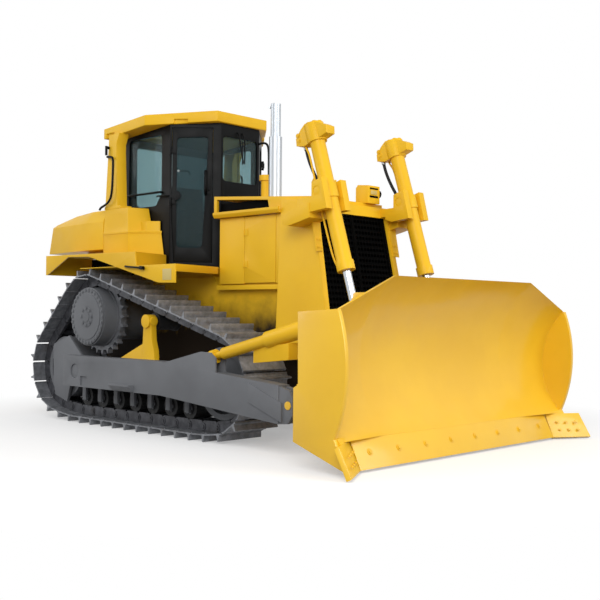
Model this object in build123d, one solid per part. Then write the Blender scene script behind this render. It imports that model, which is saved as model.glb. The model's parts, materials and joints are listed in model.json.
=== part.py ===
from build123d import *
import math
import os

# Crawler bulldozer with an elevated drive sprocket, a semi-U blade and a closed cab.
# Millimetres. +X forward, +Y to the machine's left, +Z up, grouser tips on Z = 0.
# Lengths along X are measured from the sprocket axis; every node is moved by ORIGIN_X
# at export, so that the machine's origin is the middle of its box, on the ground.

# ---------------------------------------------------------------- running gear
GAUGE = 1980.0              # track centre to track centre
SHOE_W = 560.0              # shoe width
PITCH = 216.0               # link pitch
SHOES = 40                  # shoes in one track
ROLLER_CLEAR = 480.0        # idler axis to the nearest track roller
BEND_CLEAR = 290.0          # idler axis to where the ground run starts to rise
POCKETS = 12                # pitches around the sprocket
IDLER_PIN_R = 430.0         # idler centre to track pins
SHOE_SEAT = 52.0            # pin line to shoe seat
SHOE_T = 14.0               # shoe plate
GROUSER_H = 64.0            # grouser above the shoe plate
RAIL_H = 60.0               # pin line to rail surface
RAIL_IN = 85.0              # track centre to inner face of a rail
RAIL_OUT = 130.0            # track centre to outer face of a rail
REAR_IDLER_X = -596.0
REAR_IDLER_LIFT = 50.0      # rear idler raised above the rollers' line
FRONT_IDLER_LIFT = 10.0
SPROCKET_Z = 1205.0
CARRIER_X = 1118.0          # carrier roller axis
CARRIER_R = 92.0
DRUM_R = 338.0              # final drive drum
ROLLERS = 7                 # track rollers a side
ROLLER_R = 108.0
CLEAR = 0.3                 # seat clearance between pieces
GAP = 6.0                   # working gap between moving pieces

FRAME_W = 300.0             # roller frame box, across
FRAME_Z0 = 440.0
FRAME_Z1 = 700.0
FORK_T = 34.0               # idler fork plates

# ---------------------------------------------------------------- blade lift
TRUNNION_X = 88.0           # push arm trunnion on the roller frame
TRUNNION_Z = 604.0
TRUNNION_R = 78.0
ARM_Y0 = 1300.0             # push arm, inner face
ARM_Y1 = 1436.0             # push arm, outer face
ARM_H = 338.0
ARM_END_X = -147.0          # rear end of the arm
ARM_BEND_X = 1640.0
ARM_FRONT_X = 3312.0
ARM_FRONT_Z = 466.0
YOKE_X = 3130.0             # lift cylinder pivot
YOKE_Z = 2411.0
LIFT_Y = 612.0              # lift cylinder plane
ROD_PIN_Z = 700.0           # lift rod pin on the blade
BARREL_R = 74.0
ROD_R = 40.0
ROD_PIN_R = 30.0
ROD_DRIFT = 20.0            # room in the rod eye for its pin's drift
BARREL_UP = 523.0           # pivot to top of the tube
BARREL_DOWN = 785.0         # pivot to gland end
HEAD_H = 182.0              # barrel head above the tube
ROD_L = 1470.0              # rod eye to the piston's far side
LEAN = math.radians(17.1)   # lift cylinder lean from the vertical

# ---------------------------------------------------------------- blade
BLADE_HALF = 1769.0         # centre to end plate outer face
WING_Y = BLADE_HALF - 709.0  # where the wings start
BLADE_TOP = 1581.0
EDGE_TOP_X = 4198.0         # moldboard foot, front face
EDGE_TOP_Z = 256.0
EDGE_TIP_X = 4314.0
EDGE_TIP_Z = 24.0
MOLD_TOP_X = 4306.0
MOLD_DEEP_X = 3928.0
MOLD_DEEP_Z = 944.0
MOLD_T = 30.0
WING_TOP_X = 4290.0         # same points at the end plate
WING_DEEP_X = 4051.0
WING_FOOT_X = 4272.0
WING_DEEP_Z = 830.0
WING_TOP_Z = 1304.0
END_T = 40.0
END_BULGE_X = 4378.0        # front edge of an end plate
END_BULGE_Z = 735.0
END_TOE_X = 4400.0
END_TOE_Z = 38.0
BACK_X = MOLD_DEEP_X - 106.0               # rear of the blade's back frame
EDGE_T = 36.0
BIT_Y0 = 1500.0
BIT_Y1 = 1862.0
BIT_FORWARD = 219.0
ARM_PIN_X = ARM_FRONT_X + 110.0            # push arm's pin in the blade's lug
ARM_PIN_R = 36.0
TRUNNION_PIN_R = 42.0       # lift barrel's trunnions

# ---------------------------------------------------------------- hull and hood
HULL_HALF = 430.0
HULL_Z0 = 420.0
HULL_Z1 = 1555.0
HULL_TOP = 1650.0           # hull under the cab
HULL_X0 = -760.0
REAR_BOLT_Y = 300.0         # tapped holes in the rear case
REAR_BOLT_Z = (850.0, 1350.0)
REAR_BOLT_R = 13.0
REAR_BOLT_DEEP = 60.0
BAY_Z = 760.0               # engine bay floor
GUARD_HALF = 560.0
GUARD_FLARE = 0.049
HOOD_T = 34.0
GUARD_X0 = 2440.0
GUARD_X1 = 2905.0           # front face at GUARD_Z
GUARD_Z = 2260.0
GUARD_RAKE = 0.197
GUARD_BASE = 880.0
GUARD_RIM = 52.0            # guard's outer face to its opening, at the top
OPEN_Z0 = 1010.0            # foot of the guard's opening
SLATS = 22                  # louvres of the grille
HOOD_HALF = 532.0
HOOD_X0 = 1372.0
HOOD_Z0 = 2516.0            # hood top at its rear edge
HOOD_SLOPE = -0.0745
PANEL_T = 12.0
PANEL_Z0 = 1566.0
PANEL_Z1 = 2268.0
PANEL_X0 = 1472.0
DOOR_X0 = 1868.0
DOOR_X1 = 2332.0
TRAY_OUT = 606.0
STACK_X = 1925.0
STACK_Y = -150.0
STACK_TOP = 3503.0
STACK_STEP = 3148.0
STACK_R = 70.0
STACK_TOP_R = 54.0
LAMP_X0 = 2722.0            # lamp housings on the hood
LAMP_X1 = 2896.0
LAMP_Y0 = 245.0
LAMP_Y1 = 426.0

# ---------------------------------------------------------------- cab
CAB_X0 = -40.0
CAB_HALF = 700.0
CAB_B_X = 807.0             # door hinge post
CAB_FRONT_X = 1198.0
CAB_FRONT_HALF = 290.0
CAB_Z0 = 1752.3
CAB_WALL = 45.0
ROOF_X0 = -182.0
ROOF_B_X = 613.0
ROOF_X1 = 1232.0
ROOF_HALF = CAB_HALF + 205.0
ROOF_FRONT_HALF = 374.0
ROOF_Z0 = 3395.0            # roof top at its rear edge
ROOF_SLOPE = 0.0745
ROOF_T = 118.0
GLASS_T = 6.0
DOOR_Z0 = 1818.0            # cab door opening
DOOR_Z1 = 3322.0
DOOR_IN = 20.0              # opening from the hinge post's corner
DOOR_WIDE = 458.0
HINGE_OUT = 20.0            # door hinge pin off the cab's face
HINGE_R = 9.0
PANE_R = 45.0               # corners of glass
POST_Y0 = CAB_HALF + 115.0  # roll-over posts
POST_Y1 = CAB_HALF + 250.0

# ---------------------------------------------------------------- rear body
FENDER_HALF = CAB_HALF + 570.0
FENDER_X0 = -812.0
FENDER_X1 = 1646.0
DECK_Z = 1900.0
DECK_BEND = -100.0          # the rear deck rises from here
SILL_Z = 1752.0
SILL_T = 8.0
SILL_X1 = 1459.0            # sill's front edge beside the hood
STEP_X0 = 765.0             # oblique step of the decks: beside the cab, at the skirt
STEP_X1 = 964.0
BOX_OUT = CAB_HALF + 260.0  # outer face of the side boxes
BOX_X0 = -80.0
BOX_Z1 = 2160.0             # seam between lower and upper box
BOX_TOP = 2436.0
TANK_X0 = -1480.0
TANK_X1 = -92.0
TANK_Z0 = 1982.0
TANK_Z1 = 2305.0
TANK_TOP = 2445.0

TRACK_Y = GAUGE / 2
PIN_Z = SHOE_SEAT + SHOE_T + GROUSER_H
REAR_IDLER_Z = PIN_Z + IDLER_PIN_R + REAR_IDLER_LIFT
FRONT_IDLER_Z = PIN_Z + IDLER_PIN_R + FRONT_IDLER_LIFT
ROLLER_Z = PIN_Z + RAIL_H + CLEAR + ROLLER_R
SPROCKET_PIN_R = PITCH / (2 * math.sin(math.pi / POCKETS))
ARM_Y = (ARM_Y0 + ARM_Y1) / 2
ROD_PIN = (YOKE_Z - ROD_PIN_Z) / math.cos(LEAN)
STRUT_START = (2303.0, ARM_Y, 830.0)       # tilt strut: pin on the arm, pin on the blade
STRUT_END = (BACK_X - 122.0, 1230.0, 1195.0)
DOOR_ANGLE = math.degrees(math.atan2(CAB_FRONT_HALF - CAB_HALF, CAB_FRONT_X - CAB_B_X))

# Moldboard sections: foot X, deepest X and Z, top X and Z.
MIDDLE = (EDGE_TOP_X, MOLD_DEEP_X, MOLD_DEEP_Z, MOLD_TOP_X, BLADE_TOP)
WING = (WING_FOOT_X, WING_DEEP_X, WING_DEEP_Z, WING_TOP_X, WING_TOP_Z)


# ================================================================ helpers
def block(x0, x1, y0, y1, z0, z1):
    """A box between two corners."""
    return Pos((x0 + x1) / 2, (y0 + y1) / 2, (z0 + z1) / 2) * Box(
        abs(x1 - x0), abs(y1 - y0), abs(z1 - z0))


def prism_y(points, y0, y1):
    """A side outline (x, z) carried across from y0 to y1."""
    outline = make_face(Polyline([(x, y0, z) for x, z in points], close=True))
    return extrude(outline, amount=y1 - y0, dir=(0, 1, 0))


def prism_z(points, z0, z1):
    """A plan outline (x, y) carried up from z0 to z1."""
    outline = make_face(Polyline([(x, y, z0) for x, y in points], close=True))
    return extrude(outline, amount=z1 - z0, dir=(0, 0, 1))


def prism_x(points, x0, x1):
    """A cross outline (y, z) carried forward from x0 to x1."""
    outline = make_face(Polyline([(x0, y, z) for y, z in points], close=True))
    return extrude(outline, amount=x1 - x0, dir=(1, 0, 0))


def rod(start, end, radius):
    """A round bar between two points."""
    a = Vector(*start)
    b = Vector(*end)
    return Plane(origin=a, z_dir=b - a) * Cylinder(
        radius, (b - a).length, align=(Align.CENTER, Align.CENTER, Align.MIN))


def disc_y(x, z, y0, y1, radius):
    """A round boss along Y."""
    return rod((x, y0, z), (x, y1, z), radius)


def turned_y(x, z, y, steps):
    """A turned piece about Y: steps are (from, to, radius) along Y from y."""
    shape = disc_y(x, z, y + steps[0][0], y + steps[0][1], steps[0][2])
    for y0, y1, radius in steps[1:]:
        shape += disc_y(x, z, y + y0, y + y1, radius)
    return shape


def both(shape):
    """A piece made for the left side, and its twin on the right."""
    return shape + mirror(shape, about=Plane.XZ)


def right(shape):
    return mirror(shape, about=Plane.XZ)


# ================================================================ track path
def tangent(c0, r0, c1, r1):
    """Angle of the normal of the outer tangent from circle 0 to circle 1, clockwise."""
    dx = c1[0] - c0[0]
    dz = c1[1] - c0[1]
    return math.atan2(dz, dx) + math.acos((r0 - r1) / math.hypot(dx, dz))


def wheel_circles(front_x):
    """What the pin line runs around, clockwise from the rear idler: centre, radius."""
    under = ROLLER_Z - PIN_Z
    return [((REAR_IDLER_X, REAR_IDLER_Z), IDLER_PIN_R), ((0.0, SPROCKET_Z), SPROCKET_PIN_R),
            ((front_x, FRONT_IDLER_Z), IDLER_PIN_R), ((front_x - BEND_CLEAR, ROLLER_Z), under),
            ((REAR_IDLER_X + BEND_CLEAR, ROLLER_Z), under)]


def roller_ends(front_x):
    """Places of the first and the last track roller, clear of the idlers."""
    return REAR_IDLER_X + ROLLER_CLEAR, front_x - ROLLER_CLEAR


def on_circle(centre, radius, angle):
    return (centre[0] + radius * math.cos(angle), centre[1] + radius * math.sin(angle))


def path_pieces(front_x):
    """The pin line as arcs and straights, each with its length."""
    circles = wheel_circles(front_x)
    count = len(circles)
    turns = [tangent(*circles[i], *circles[(i + 1) % count]) for i in range(count)]
    pieces = []
    for i, (centre, radius) in enumerate(circles):
        a0 = turns[i - 1]
        a1 = turns[i]
        sweep = (a0 - a1) % (2 * math.pi)
        pieces.append(("arc", centre, radius, a0, sweep, radius * sweep))
        start = on_circle(centre, radius, a1)
        end = on_circle(*circles[(i + 1) % count], a1)
        pieces.append(("line", start, end, 0, 0, math.dist(start, end)))
    return pieces


def path_length(front_x):
    return sum(piece[5] for piece in path_pieces(front_x))


def take_up():
    """The front idler's place, where the track closes on a whole number of links."""
    low = 1000.0
    high = 4000.0
    for _ in range(60):
        middle = (low + high) / 2
        if path_length(middle) < SHOES * PITCH:
            low = middle
        else:
            high = middle
    return (low + high) / 2


FRONT_IDLER_X = take_up()


def pin_points():
    """Track pins, one pitch apart along the pin line."""
    pieces = path_pieces(FRONT_IDLER_X)
    points = []
    for index in range(SHOES):
        left = index * PITCH
        for kind, a, b, a0, sweep, length in pieces:
            if left <= length:
                break
            left -= length
        if kind == "arc":
            points.append(on_circle(a, b, a0 - left / b))
        else:
            t = left / length
            points.append((a[0] + (b[0] - a[0]) * t, a[1] + (b[1] - a[1]) * t))
    return points


PINS = pin_points()


def carrier_height():
    """Carrier roller axis: its tread under the rails of the top run."""
    line = path_pieces(FRONT_IDLER_X)[3]
    slope = (line[2][1] - line[1][1]) / (line[2][0] - line[1][0])
    pin_z = line[1][1] + (CARRIER_X - line[1][0]) * slope
    return pin_z - (RAIL_H + CARRIER_R + CLEAR) * math.hypot(1, slope)


CARRIER_Z = carrier_height()


def offset_link(index, along, out):
    """A point beside link number index: along it from its first pin, and outwards."""
    p = PINS[index]
    q = PINS[(index + 1) % SHOES]
    length = math.dist(p, q)
    dx = (q[0] - p[0]) / length
    dz = (q[1] - p[1]) / length
    if along < 0:
        along += length
    return (p[0] + dx * along - dz * out, p[1] + dz * along + dx * out)


def loop_through(out):
    """A closed outline at one distance from the pin line, mitred at the pins."""
    points = []
    for index in range(SHOES):
        a = offset_link(index - 1, -1e-6, out)
        b = offset_link(index, 0, out)
        points.append(((a[0] + b[0]) / 2, (a[1] + b[1]) / 2))
    return points


def track_loop():
    """One closed track: shoes with single grousers on two link rails."""
    grouser = ((10, 0), (34, 0), (42, GROUSER_H), (56, GROUSER_H), (66, 0), (-10, 0))
    seat = SHOE_SEAT + SHOE_T
    outline = []
    for index in range(SHOES):
        outline += [offset_link(index, along, seat + out) for along, out in grouser]
    half = SHOE_W / 2
    shoes = prism_y(outline, TRACK_Y - half, TRACK_Y + half)
    shoes -= prism_y(loop_through(SHOE_SEAT), TRACK_Y - half - 1, TRACK_Y + half + 1)
    band = prism_y(loop_through(SHOE_SEAT + SHOE_T / 2), TRACK_Y + RAIL_IN, TRACK_Y + RAIL_OUT)
    band -= prism_y(loop_through(-RAIL_H), TRACK_Y + RAIL_IN - 1, TRACK_Y + RAIL_OUT + 1)
    other = Pos(0, -RAIL_IN - RAIL_OUT, 0) * band
    return shoes + band + other




# ================================================================ running gear
def idler_apothem():
    return math.sqrt(IDLER_PIN_R ** 2 - (PITCH / 2) ** 2) - RAIL_H - CLEAR


def idlers():
    """Rear and front idler wheels with their shafts, left side; each dished outside."""
    r = idler_apothem()
    wheels = []
    for x, z in ((REAR_IDLER_X, REAR_IDLER_Z), (FRONT_IDLER_X, FRONT_IDLER_Z)):
        wheel = disc_y(x, z, TRACK_Y - 128, TRACK_Y + 128, r)
        wheel -= disc_y(x, z, TRACK_Y + 60, TRACK_Y + 130, r - 60)
        wheels.append(wheel + disc_y(x, z, TRACK_Y - FRAME_W / 2 + CLEAR, TRACK_Y + FRAME_W / 2 - CLEAR, 110))
    return Part() + wheels


def roller_places():
    first, last = roller_ends(FRONT_IDLER_X)
    return [first + (last - first) * i / (ROLLERS - 1) for i in range(ROLLERS)]


def track_rollers():
    """Track rollers under the frame, on the rails of the bottom run, and the
    carrier roller under the top run, left side."""
    rollers = [disc_y(x, ROLLER_Z, TRACK_Y - 140, TRACK_Y + 140, ROLLER_R) for x in roller_places()]
    flange = -RAIL_OUT - CLEAR
    rollers.append(turned_y(CARRIER_X, CARRIER_Z, TRACK_Y, ((flange - 2, 128, CARRIER_R),
                                                            (flange - 20, flange, CARRIER_R + 14))))
    return Part() + rollers


def roller_frame():
    """Welded box frame with idler forks, roller brackets and trunnion, left side."""
    half = FRAME_W / 2
    inner = idler_apothem() + 60
    x0 = REAR_IDLER_X + inner
    x1 = FRONT_IDLER_X - inner
    frame = block(x0, x1, TRACK_Y - half, TRACK_Y + half, FRAME_Z0, FRAME_Z1)
    fork = [(REAR_IDLER_X - 170, REAR_IDLER_Z - 170), (REAR_IDLER_X - 30, REAR_IDLER_Z - 170),
            (x0 + 60, FRAME_Z0), (x1 - 60, FRAME_Z0), (FRONT_IDLER_X + 60, FRONT_IDLER_Z - 130),
            (FRONT_IDLER_X + 150, FRONT_IDLER_Z - 95), (FRONT_IDLER_X + 150, FRONT_IDLER_Z + 60),
            (FRONT_IDLER_X, FRAME_Z1 + 20), (x1 - 60, FRAME_Z1), (x0 + 60, FRAME_Z1),
            (REAR_IDLER_X + 383, REAR_IDLER_Z + 176), (REAR_IDLER_X + 150, REAR_IDLER_Z + 370),
            (REAR_IDLER_X - 165, REAR_IDLER_Z + 270), (REAR_IDLER_X - 194, REAR_IDLER_Z + 228)]
    guard = [(REAR_IDLER_X - 170, REAR_IDLER_Z - 160), (REAR_IDLER_X - 140, REAR_IDLER_Z - 330),
             (REAR_IDLER_X + 120, REAR_IDLER_Z - 400), (REAR_IDLER_X + 200, REAR_IDLER_Z - 150)]
    for side in (-1, 1):
        ya = TRACK_Y + side * half
        yb = ya + side * FORK_T
        frame += prism_y(fork, ya, yb)
        for x in roller_places():
            frame += block(x - 34, x + 34, ya, yb, ROLLER_Z - 42, FRAME_Z0 + 1)
    frame += prism_y(guard, TRACK_Y + half, TRACK_Y + half + FORK_T)
    frame += disc_y(TRUNNION_X, TRUNNION_Z, TRACK_Y + half, ARM_Y0 - GAP, TRUNNION_R + 52)
    frame += disc_y(TRUNNION_X, TRUNNION_Z, TRACK_Y + half, ARM_Y1 - 12, TRUNNION_R)
    return frame


def carrier_posts():
    """Cast posts on the frame's outer side: clamp head for the carrier roller's
    shaft, tapered neck, ribbed foot and a long brace to the rear."""
    ya = TRACK_Y + 158
    yb = TRACK_Y + 250
    base = FRAME_Z1
    top = CARRIER_Z
    x = CARRIER_X
    neck = prism_y([(x - 85, base), (x + 150, base), (x + 132, base + 160), (x + 96, base + 265),
                    (x + 78, top), (x - 50, top), (x - 62, base + 240), (x - 85, base + 170)], ya + 14, yb - 14)
    brace = prism_y([(x - 540, base), (x - 70, base), (x - 70, base + 225), (x - 110, base + 210),
                     (x - 500, base + 50)], ya + 26, yb - 18)
    foot = block(x - 540, x + 165, TRACK_Y + 100, yb, base + CLEAR, base + 26)
    head = disc_y(x + 12, top, ya, yb + 12, 70) + rod((x - 62, yb - 44, top), (x + 92, yb - 44, top), 46)
    shaft = disc_y(x, top, TRACK_Y + 128 + CLEAR, ya + 1, 52)
    return neck + brace + foot + head + shaft


def sprocket():
    """Toothed drive ring on the final drive, its pockets under the track pins."""
    pin = min(PINS, key=lambda p: abs(math.dist(p, (0, SPROCKET_Z)) - SPROCKET_PIN_R))
    phase = math.atan2(pin[1] - SPROCKET_Z, pin[0])
    step = math.pi / POCKETS
    outline = []
    for index in range(2 * POCKETS):
        middle = phase + index * step
        for turn, drop in ((-0.30, -34), (0.30, -34), (0.44, 12), (0.56, 12)):
            outline.append(on_circle((0, SPROCKET_Z), SPROCKET_PIN_R + drop, middle + turn * step))
    ring = prism_y(outline, TRACK_Y - 34, TRACK_Y + 34)
    return ring - disc_y(0, SPROCKET_Z, TRACK_Y - 40, TRACK_Y + 40, DRUM_R + CLEAR)


def final_drive():
    """Stepped drum of the final drive, from the hull to its outer cover."""
    y = TRACK_Y
    return turned_y(0, SPROCKET_Z, 0, (
        (HULL_HALF + CLEAR, y - 90, 262), (y - 92, y + 60, DRUM_R), (y + 58, y + 215, DRUM_R - 8),
        (y + 213, y + 236, DRUM_R - 22), (y + 200, y + 246, 120)))


# ================================================================ hull
def guard_front(z):
    return GUARD_X1 + (GUARD_Z - z) * GUARD_RAKE


def main_frame():
    """Hull: two side rails, belly, rear case with tapped holes for an attachment."""
    side = [(HULL_X0, 540), (HULL_X0 + 160, HULL_Z0), (guard_front(GUARD_BASE) - 120, HULL_Z0 + 120),
            (guard_front(GUARD_BASE) - 30, GUARD_BASE), (GUARD_X0, GUARD_BASE),
            (GUARD_X0, HULL_Z1), (PANEL_X0 - 140, HULL_Z1), (PANEL_X0 - 200, HULL_TOP),
            (HULL_X0 + 200, HULL_TOP), (HULL_X0, 1400)]
    hull = prism_y(side, -HULL_HALF, HULL_HALF)
    bay = [(1420, BAY_Z), (GUARD_X0 - 40, BAY_Z), (GUARD_X0 - 40, HULL_Z1 + 10), (1420, HULL_Z1 + 10)]
    hull -= prism_y(bay, -HULL_HALF + 40, HULL_HALF - 40)
    shelf = block(PANEL_X0 - 60, GUARD_X0, HULL_HALF - 1, HOOD_HALF - PANEL_T, PANEL_Z0 - 60, PANEL_Z0 - 12)
    hull += both(shelf)
    for y in (-REAR_BOLT_Y, REAR_BOLT_Y):
        for z in REAR_BOLT_Z:
            hull -= rod((HULL_X0 - 1, y, z), (HULL_X0 + REAR_BOLT_DEEP, y, z), REAR_BOLT_R)
    return hull


def cross_members():
    """Pivot shaft at the rear and equaliser bar at the front, frame to frame."""
    inner = TRACK_Y - FRAME_W / 2 - FORK_T - 2 * CLEAR
    bars = both(disc_y(330, 590, HULL_HALF + CLEAR, inner, 95))
    return bars + both(block(1890, 2050, HULL_HALF + CLEAR, inner, 500, 640))


def engine():
    """Engine and its accessories, one plain mass at its place."""
    return block(1460, 2330, -330, 330, BAY_Z + CLEAR, 2150)


def guard_half(z):
    """Half width of the radiator guard at a height."""
    return GUARD_HALF + (hood_top(GUARD_X0) - z) * GUARD_FLARE


def flat(x0, x1, half, z):
    """A level rectangle, a section of the guard or of its opening."""
    return make_face(Polyline([(x0, -half, z), (x1, -half, z), (x1, half, z), (x0, half, z)], close=True))


def radiator_guard():
    """Raked and flared guard around the radiator, open to the front, with the
    hose bracket plates on its columns."""
    top = hood_top(GUARD_X0)
    guard = loft([flat(GUARD_X0, guard_front(GUARD_BASE), guard_half(GUARD_BASE), GUARD_BASE),
                  flat(GUARD_X0, guard_front(top), guard_half(top), top)])
    guard -= above(-HOOD_T - CLEAR)
    guard -= loft([flat(GUARD_X0 + 60, GUARD_X1 + 500, GUARD_HALF - GUARD_RIM + 50, OPEN_Z0),
                   flat(GUARD_X0 + 60, GUARD_X1 + 500, GUARD_HALF - GUARD_RIM, GUARD_Z)])
    plate = prism_x([(GUARD_HALF - 52, 2262), (GUARD_HALF + 10, 2262), (GUARD_HALF + 74, 2146),
                     (GUARD_HALF + 74, 1857), (GUARD_HALF - 20, 1862), (GUARD_HALF - 30, 2100)],
                    GUARD_X1 - 100, GUARD_X1 + 300)
    low = guard_front(1800)
    high = guard_front(2300)
    face = [(low - 1, 1800), (low + 14, 1800), (high + 14, 2300), (high - 1, 2300)]
    plate &= prism_y(face, 0, 2 * GUARD_HALF)
    return guard + both(plate)


def grille():
    """Louvred grille set into the guard's opening, with a centre bar."""
    z0 = OPEN_Z0 + CLEAR
    z1 = GUARD_Z - 2
    depth = 46.0
    back = 26.0

    def face(z):
        return guard_front(z) - back

    def spread(z):
        return GUARD_HALF - GUARD_RIM - CLEAR + (GUARD_Z - z) * 50 / (GUARD_Z - OPEN_Z0)

    def post_section(z):
        x = face(z)
        y = spread(z)
        corners = [(x - depth, y - 34, z), (x, y - 34, z), (x, y, z), (x - depth, y, z)]
        return make_face(Polyline(corners, close=True))

    raked = [(face(z0) - depth, z0), (face(z0), z0), (face(z1), z1), (face(z1) - depth, z1)]
    shape = both(loft([post_section(z0), post_section(z1)])) + prism_y(raked, -14, 14)
    for index in range(SLATS):
        z = z0 + 24 + (z1 - z0 - 48) * index / (SLATS - 1)
        x = face(z)
        slat = [(x - depth + 4, z + 16), (x - depth + 4, z + 8), (x - 2, z - 18), (x - 2, z - 10)]
        shape += prism_y(slat, 20 - spread(z), spread(z) - 20)
    return shape


def radiator():
    """Radiator core behind the grille."""
    x0 = GUARD_X0 + 60 + CLEAR
    return block(x0, x0 + 140, -470, 470, OPEN_Z0 + CLEAR, 2200)


# ================================================================ hood and panels
def hood_top(x):
    return HOOD_Z0 + (x - HOOD_X0) * HOOD_SLOPE


def above(lift):
    """All the space above the hood's top plane, moved up by lift."""
    x0 = HOOD_X0 - 400
    x1 = GUARD_X1 + 900
    return prism_y([(x0, hood_top(x0) + lift), (x1, hood_top(x1) + lift), (x1, 4000), (x0, 4000)], -1000, 1000)


def hood():
    """Sloping hood: a top plate, closed cheeks in front and open slots behind."""
    x0 = HOOD_X0
    x1 = guard_front(hood_top(GUARD_X0)) - 30
    low = PANEL_Z1 + 24
    t = HOOD_T
    top = prism_y([(x0, hood_top(x0) - t), (x1, hood_top(x1) - t), (x1, hood_top(x1)), (x0, hood_top(x0))],
                  -HOOD_HALF, HOOD_HALF)
    xs = 2205.0
    cheek = prism_y([(xs + 40, low), (GUARD_X0 - 1, low), (GUARD_X0 - 1, hood_top(GUARD_X0) - 10),
                     (xs, hood_top(xs) - 10)], HOOD_HALF - 30, HOOD_HALF)
    post = prism_y([(x0, low), (x0 + 46, low), (x0 + 46, hood_top(x0) - 10), (x0, hood_top(x0) - 10)],
                   HOOD_HALF - 30, HOOD_HALF)
    return top + both(cheek + post + hood_tray())


def hood_tray():
    """Ledge along the left side, below the hood's slot."""
    z = PANEL_Z1 + 24
    return prism_x([(HOOD_HALF - 60, z - 20), (TRAY_OUT - 20, z - 20), (TRAY_OUT, z + 12), (TRAY_OUT, z + 38),
                    (TRAY_OUT - 14, z + 38), (TRAY_OUT - 18, z + 1), (HOOD_HALF - 60, z + 1)],
                   PANEL_X0 - 36, GUARD_X0 - 2)


def side_panels():
    """Fixed engine panels behind the doors, and the pillars in front of them."""
    rear = block(PANEL_X0, DOOR_X0 - GAP, HOOD_HALF - PANEL_T, HOOD_HALF, PANEL_Z0, PANEL_Z1)
    front = block(DOOR_X1 + GAP, GUARD_X0 - CLEAR, HOOD_HALF - 60, HOOD_HALF, PANEL_Z0, PANEL_Z1)
    sill = block(PANEL_X0, GUARD_X0 - CLEAR, HOOD_HALF - 60, HOOD_HALF - PANEL_T - 20, PANEL_Z0 - 12 + CLEAR,
                 PANEL_Z0 + 30)
    post = block(DOOR_X0 - 60, DOOR_X0 - 20, HOOD_HALF - 60, HOOD_HALF - PANEL_T, PANEL_Z0, PANEL_Z1)
    back = block(PANEL_X0, PANEL_X0 + 40, HOOD_HALF - 60, HOOD_HALF - PANEL_T, PANEL_Z0, PANEL_Z1)
    return both(rear + front + sill + post + back)


def engine_door():
    """Hinged engine door, left side, with two knuckles on its rear edge."""
    door = block(DOOR_X0, DOOR_X1, HOOD_HALF - PANEL_T, HOOD_HALF, PANEL_Z0 + 8, PANEL_Z1 - 4)
    for z in (PANEL_Z0 + 170, PANEL_Z1 - 200):
        door += rod((DOOR_X0 - 2, HOOD_HALF + 8, z), (DOOR_X0 - 2, HOOD_HALF + 8, z + 70), 8)
        door += block(DOOR_X0 - 2, DOOR_X0 + 50, HOOD_HALF - 1, HOOD_HALF + 6, z, z + 70)
    return door


def exhaust_stack():
    """Two-step exhaust stack with the hinge tube of its rain flap."""
    base = hood_top(STACK_X) + CLEAR
    stack = rod((STACK_X, STACK_Y, base - 60), (STACK_X, STACK_Y, STACK_STEP), STACK_R) & above(CLEAR)
    stack += rod((STACK_X, STACK_Y, STACK_STEP - 1), (STACK_X, STACK_Y, STACK_TOP), STACK_TOP_R)
    stack += disc_y(STACK_X - STACK_TOP_R - 8, STACK_TOP - 30, STACK_Y - 34, STACK_Y + 34, 13)
    bore = rod((STACK_X, STACK_Y, STACK_STEP + 40), (STACK_X, STACK_Y, STACK_TOP + 5), STACK_TOP_R - 6)
    return stack - bore


def air_intake():
    """Air intake pipe with a flared ring on top."""
    x = 1550.0
    y = 60.0
    base = hood_top(x) + CLEAR
    pipe = rod((x, y, base - 60), (x, y, base + 240), 47) & above(CLEAR)
    return pipe + rod((x, y, base + 232), (x, y, base + 292), 68)


def lamp_box():
    """Pair of lamp housings on the hood's front corners."""
    base = hood_top(LAMP_X0)
    outline = [(LAMP_X0, base - 60), (LAMP_X1, base - 60), (LAMP_X1, base + 172), (LAMP_X0 + 26, base + 186),
               (LAMP_X0, base + 152)]
    box = prism_y(outline, LAMP_Y0, LAMP_Y1) & above(CLEAR)
    return both(box - block(LAMP_X1 - 8, LAMP_X1 + 1, LAMP_Y0 + 22, LAMP_Y1 - 22, base + 40, base + 150))


def lamp():
    """Pair of lamps on the housings' outer faces."""
    x = LAMP_X1 - 40
    z = hood_top(LAMP_X0) + 96
    return both(disc_y(x, z, LAMP_Y1 + CLEAR, LAMP_Y1 + 34, 34))


# ================================================================ cab
def roof_top(x):
    return ROOF_Z0 + (x - ROOF_X0) * ROOF_SLOPE


def inset(points, gap):
    """An outline drawn in by a gap on every side (grown where the gap is negative).
    The outline runs anticlockwise."""
    count = len(points)
    made = []
    for i in range(count):
        p, q, r = points[i - 1], points[i], points[(i + 1) % count]
        a = Vector(q[0] - p[0], q[1] - p[1]).normalized()
        b = Vector(r[0] - q[0], r[1] - q[1]).normalized()
        cross = a.X * b.Y - a.Y * b.X
        shift = (a.X * b.X + a.Y * b.Y - 1) / cross if abs(cross) > 1e-9 else 0.0
        made.append((q[0] - gap * a.Y + gap * shift * a.X, q[1] + gap * a.X + gap * shift * a.Y))
    return made


def pane(points, radius, y0, y1):
    """A pane with rounded corners from its side outline, carried from y0 to y1."""
    face = make_face(Polyline([(x, y0, z) for x, z in points], close=True)).faces()[0]
    return extrude(face.fillet_2d(radius, face.vertices()), amount=y1 - y0, dir=(0, 1, 0))


def cab_plan(gap=0.0):
    """Plan outline of the cab, drawn in by a gap all round."""
    half = [(CAB_X0, CAB_HALF), (CAB_B_X, CAB_HALF), (CAB_FRONT_X, CAB_FRONT_HALF)]
    whole = half + [(x, -y) for x, y in reversed(half)]
    return inset(whole[::-1], gap)


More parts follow.
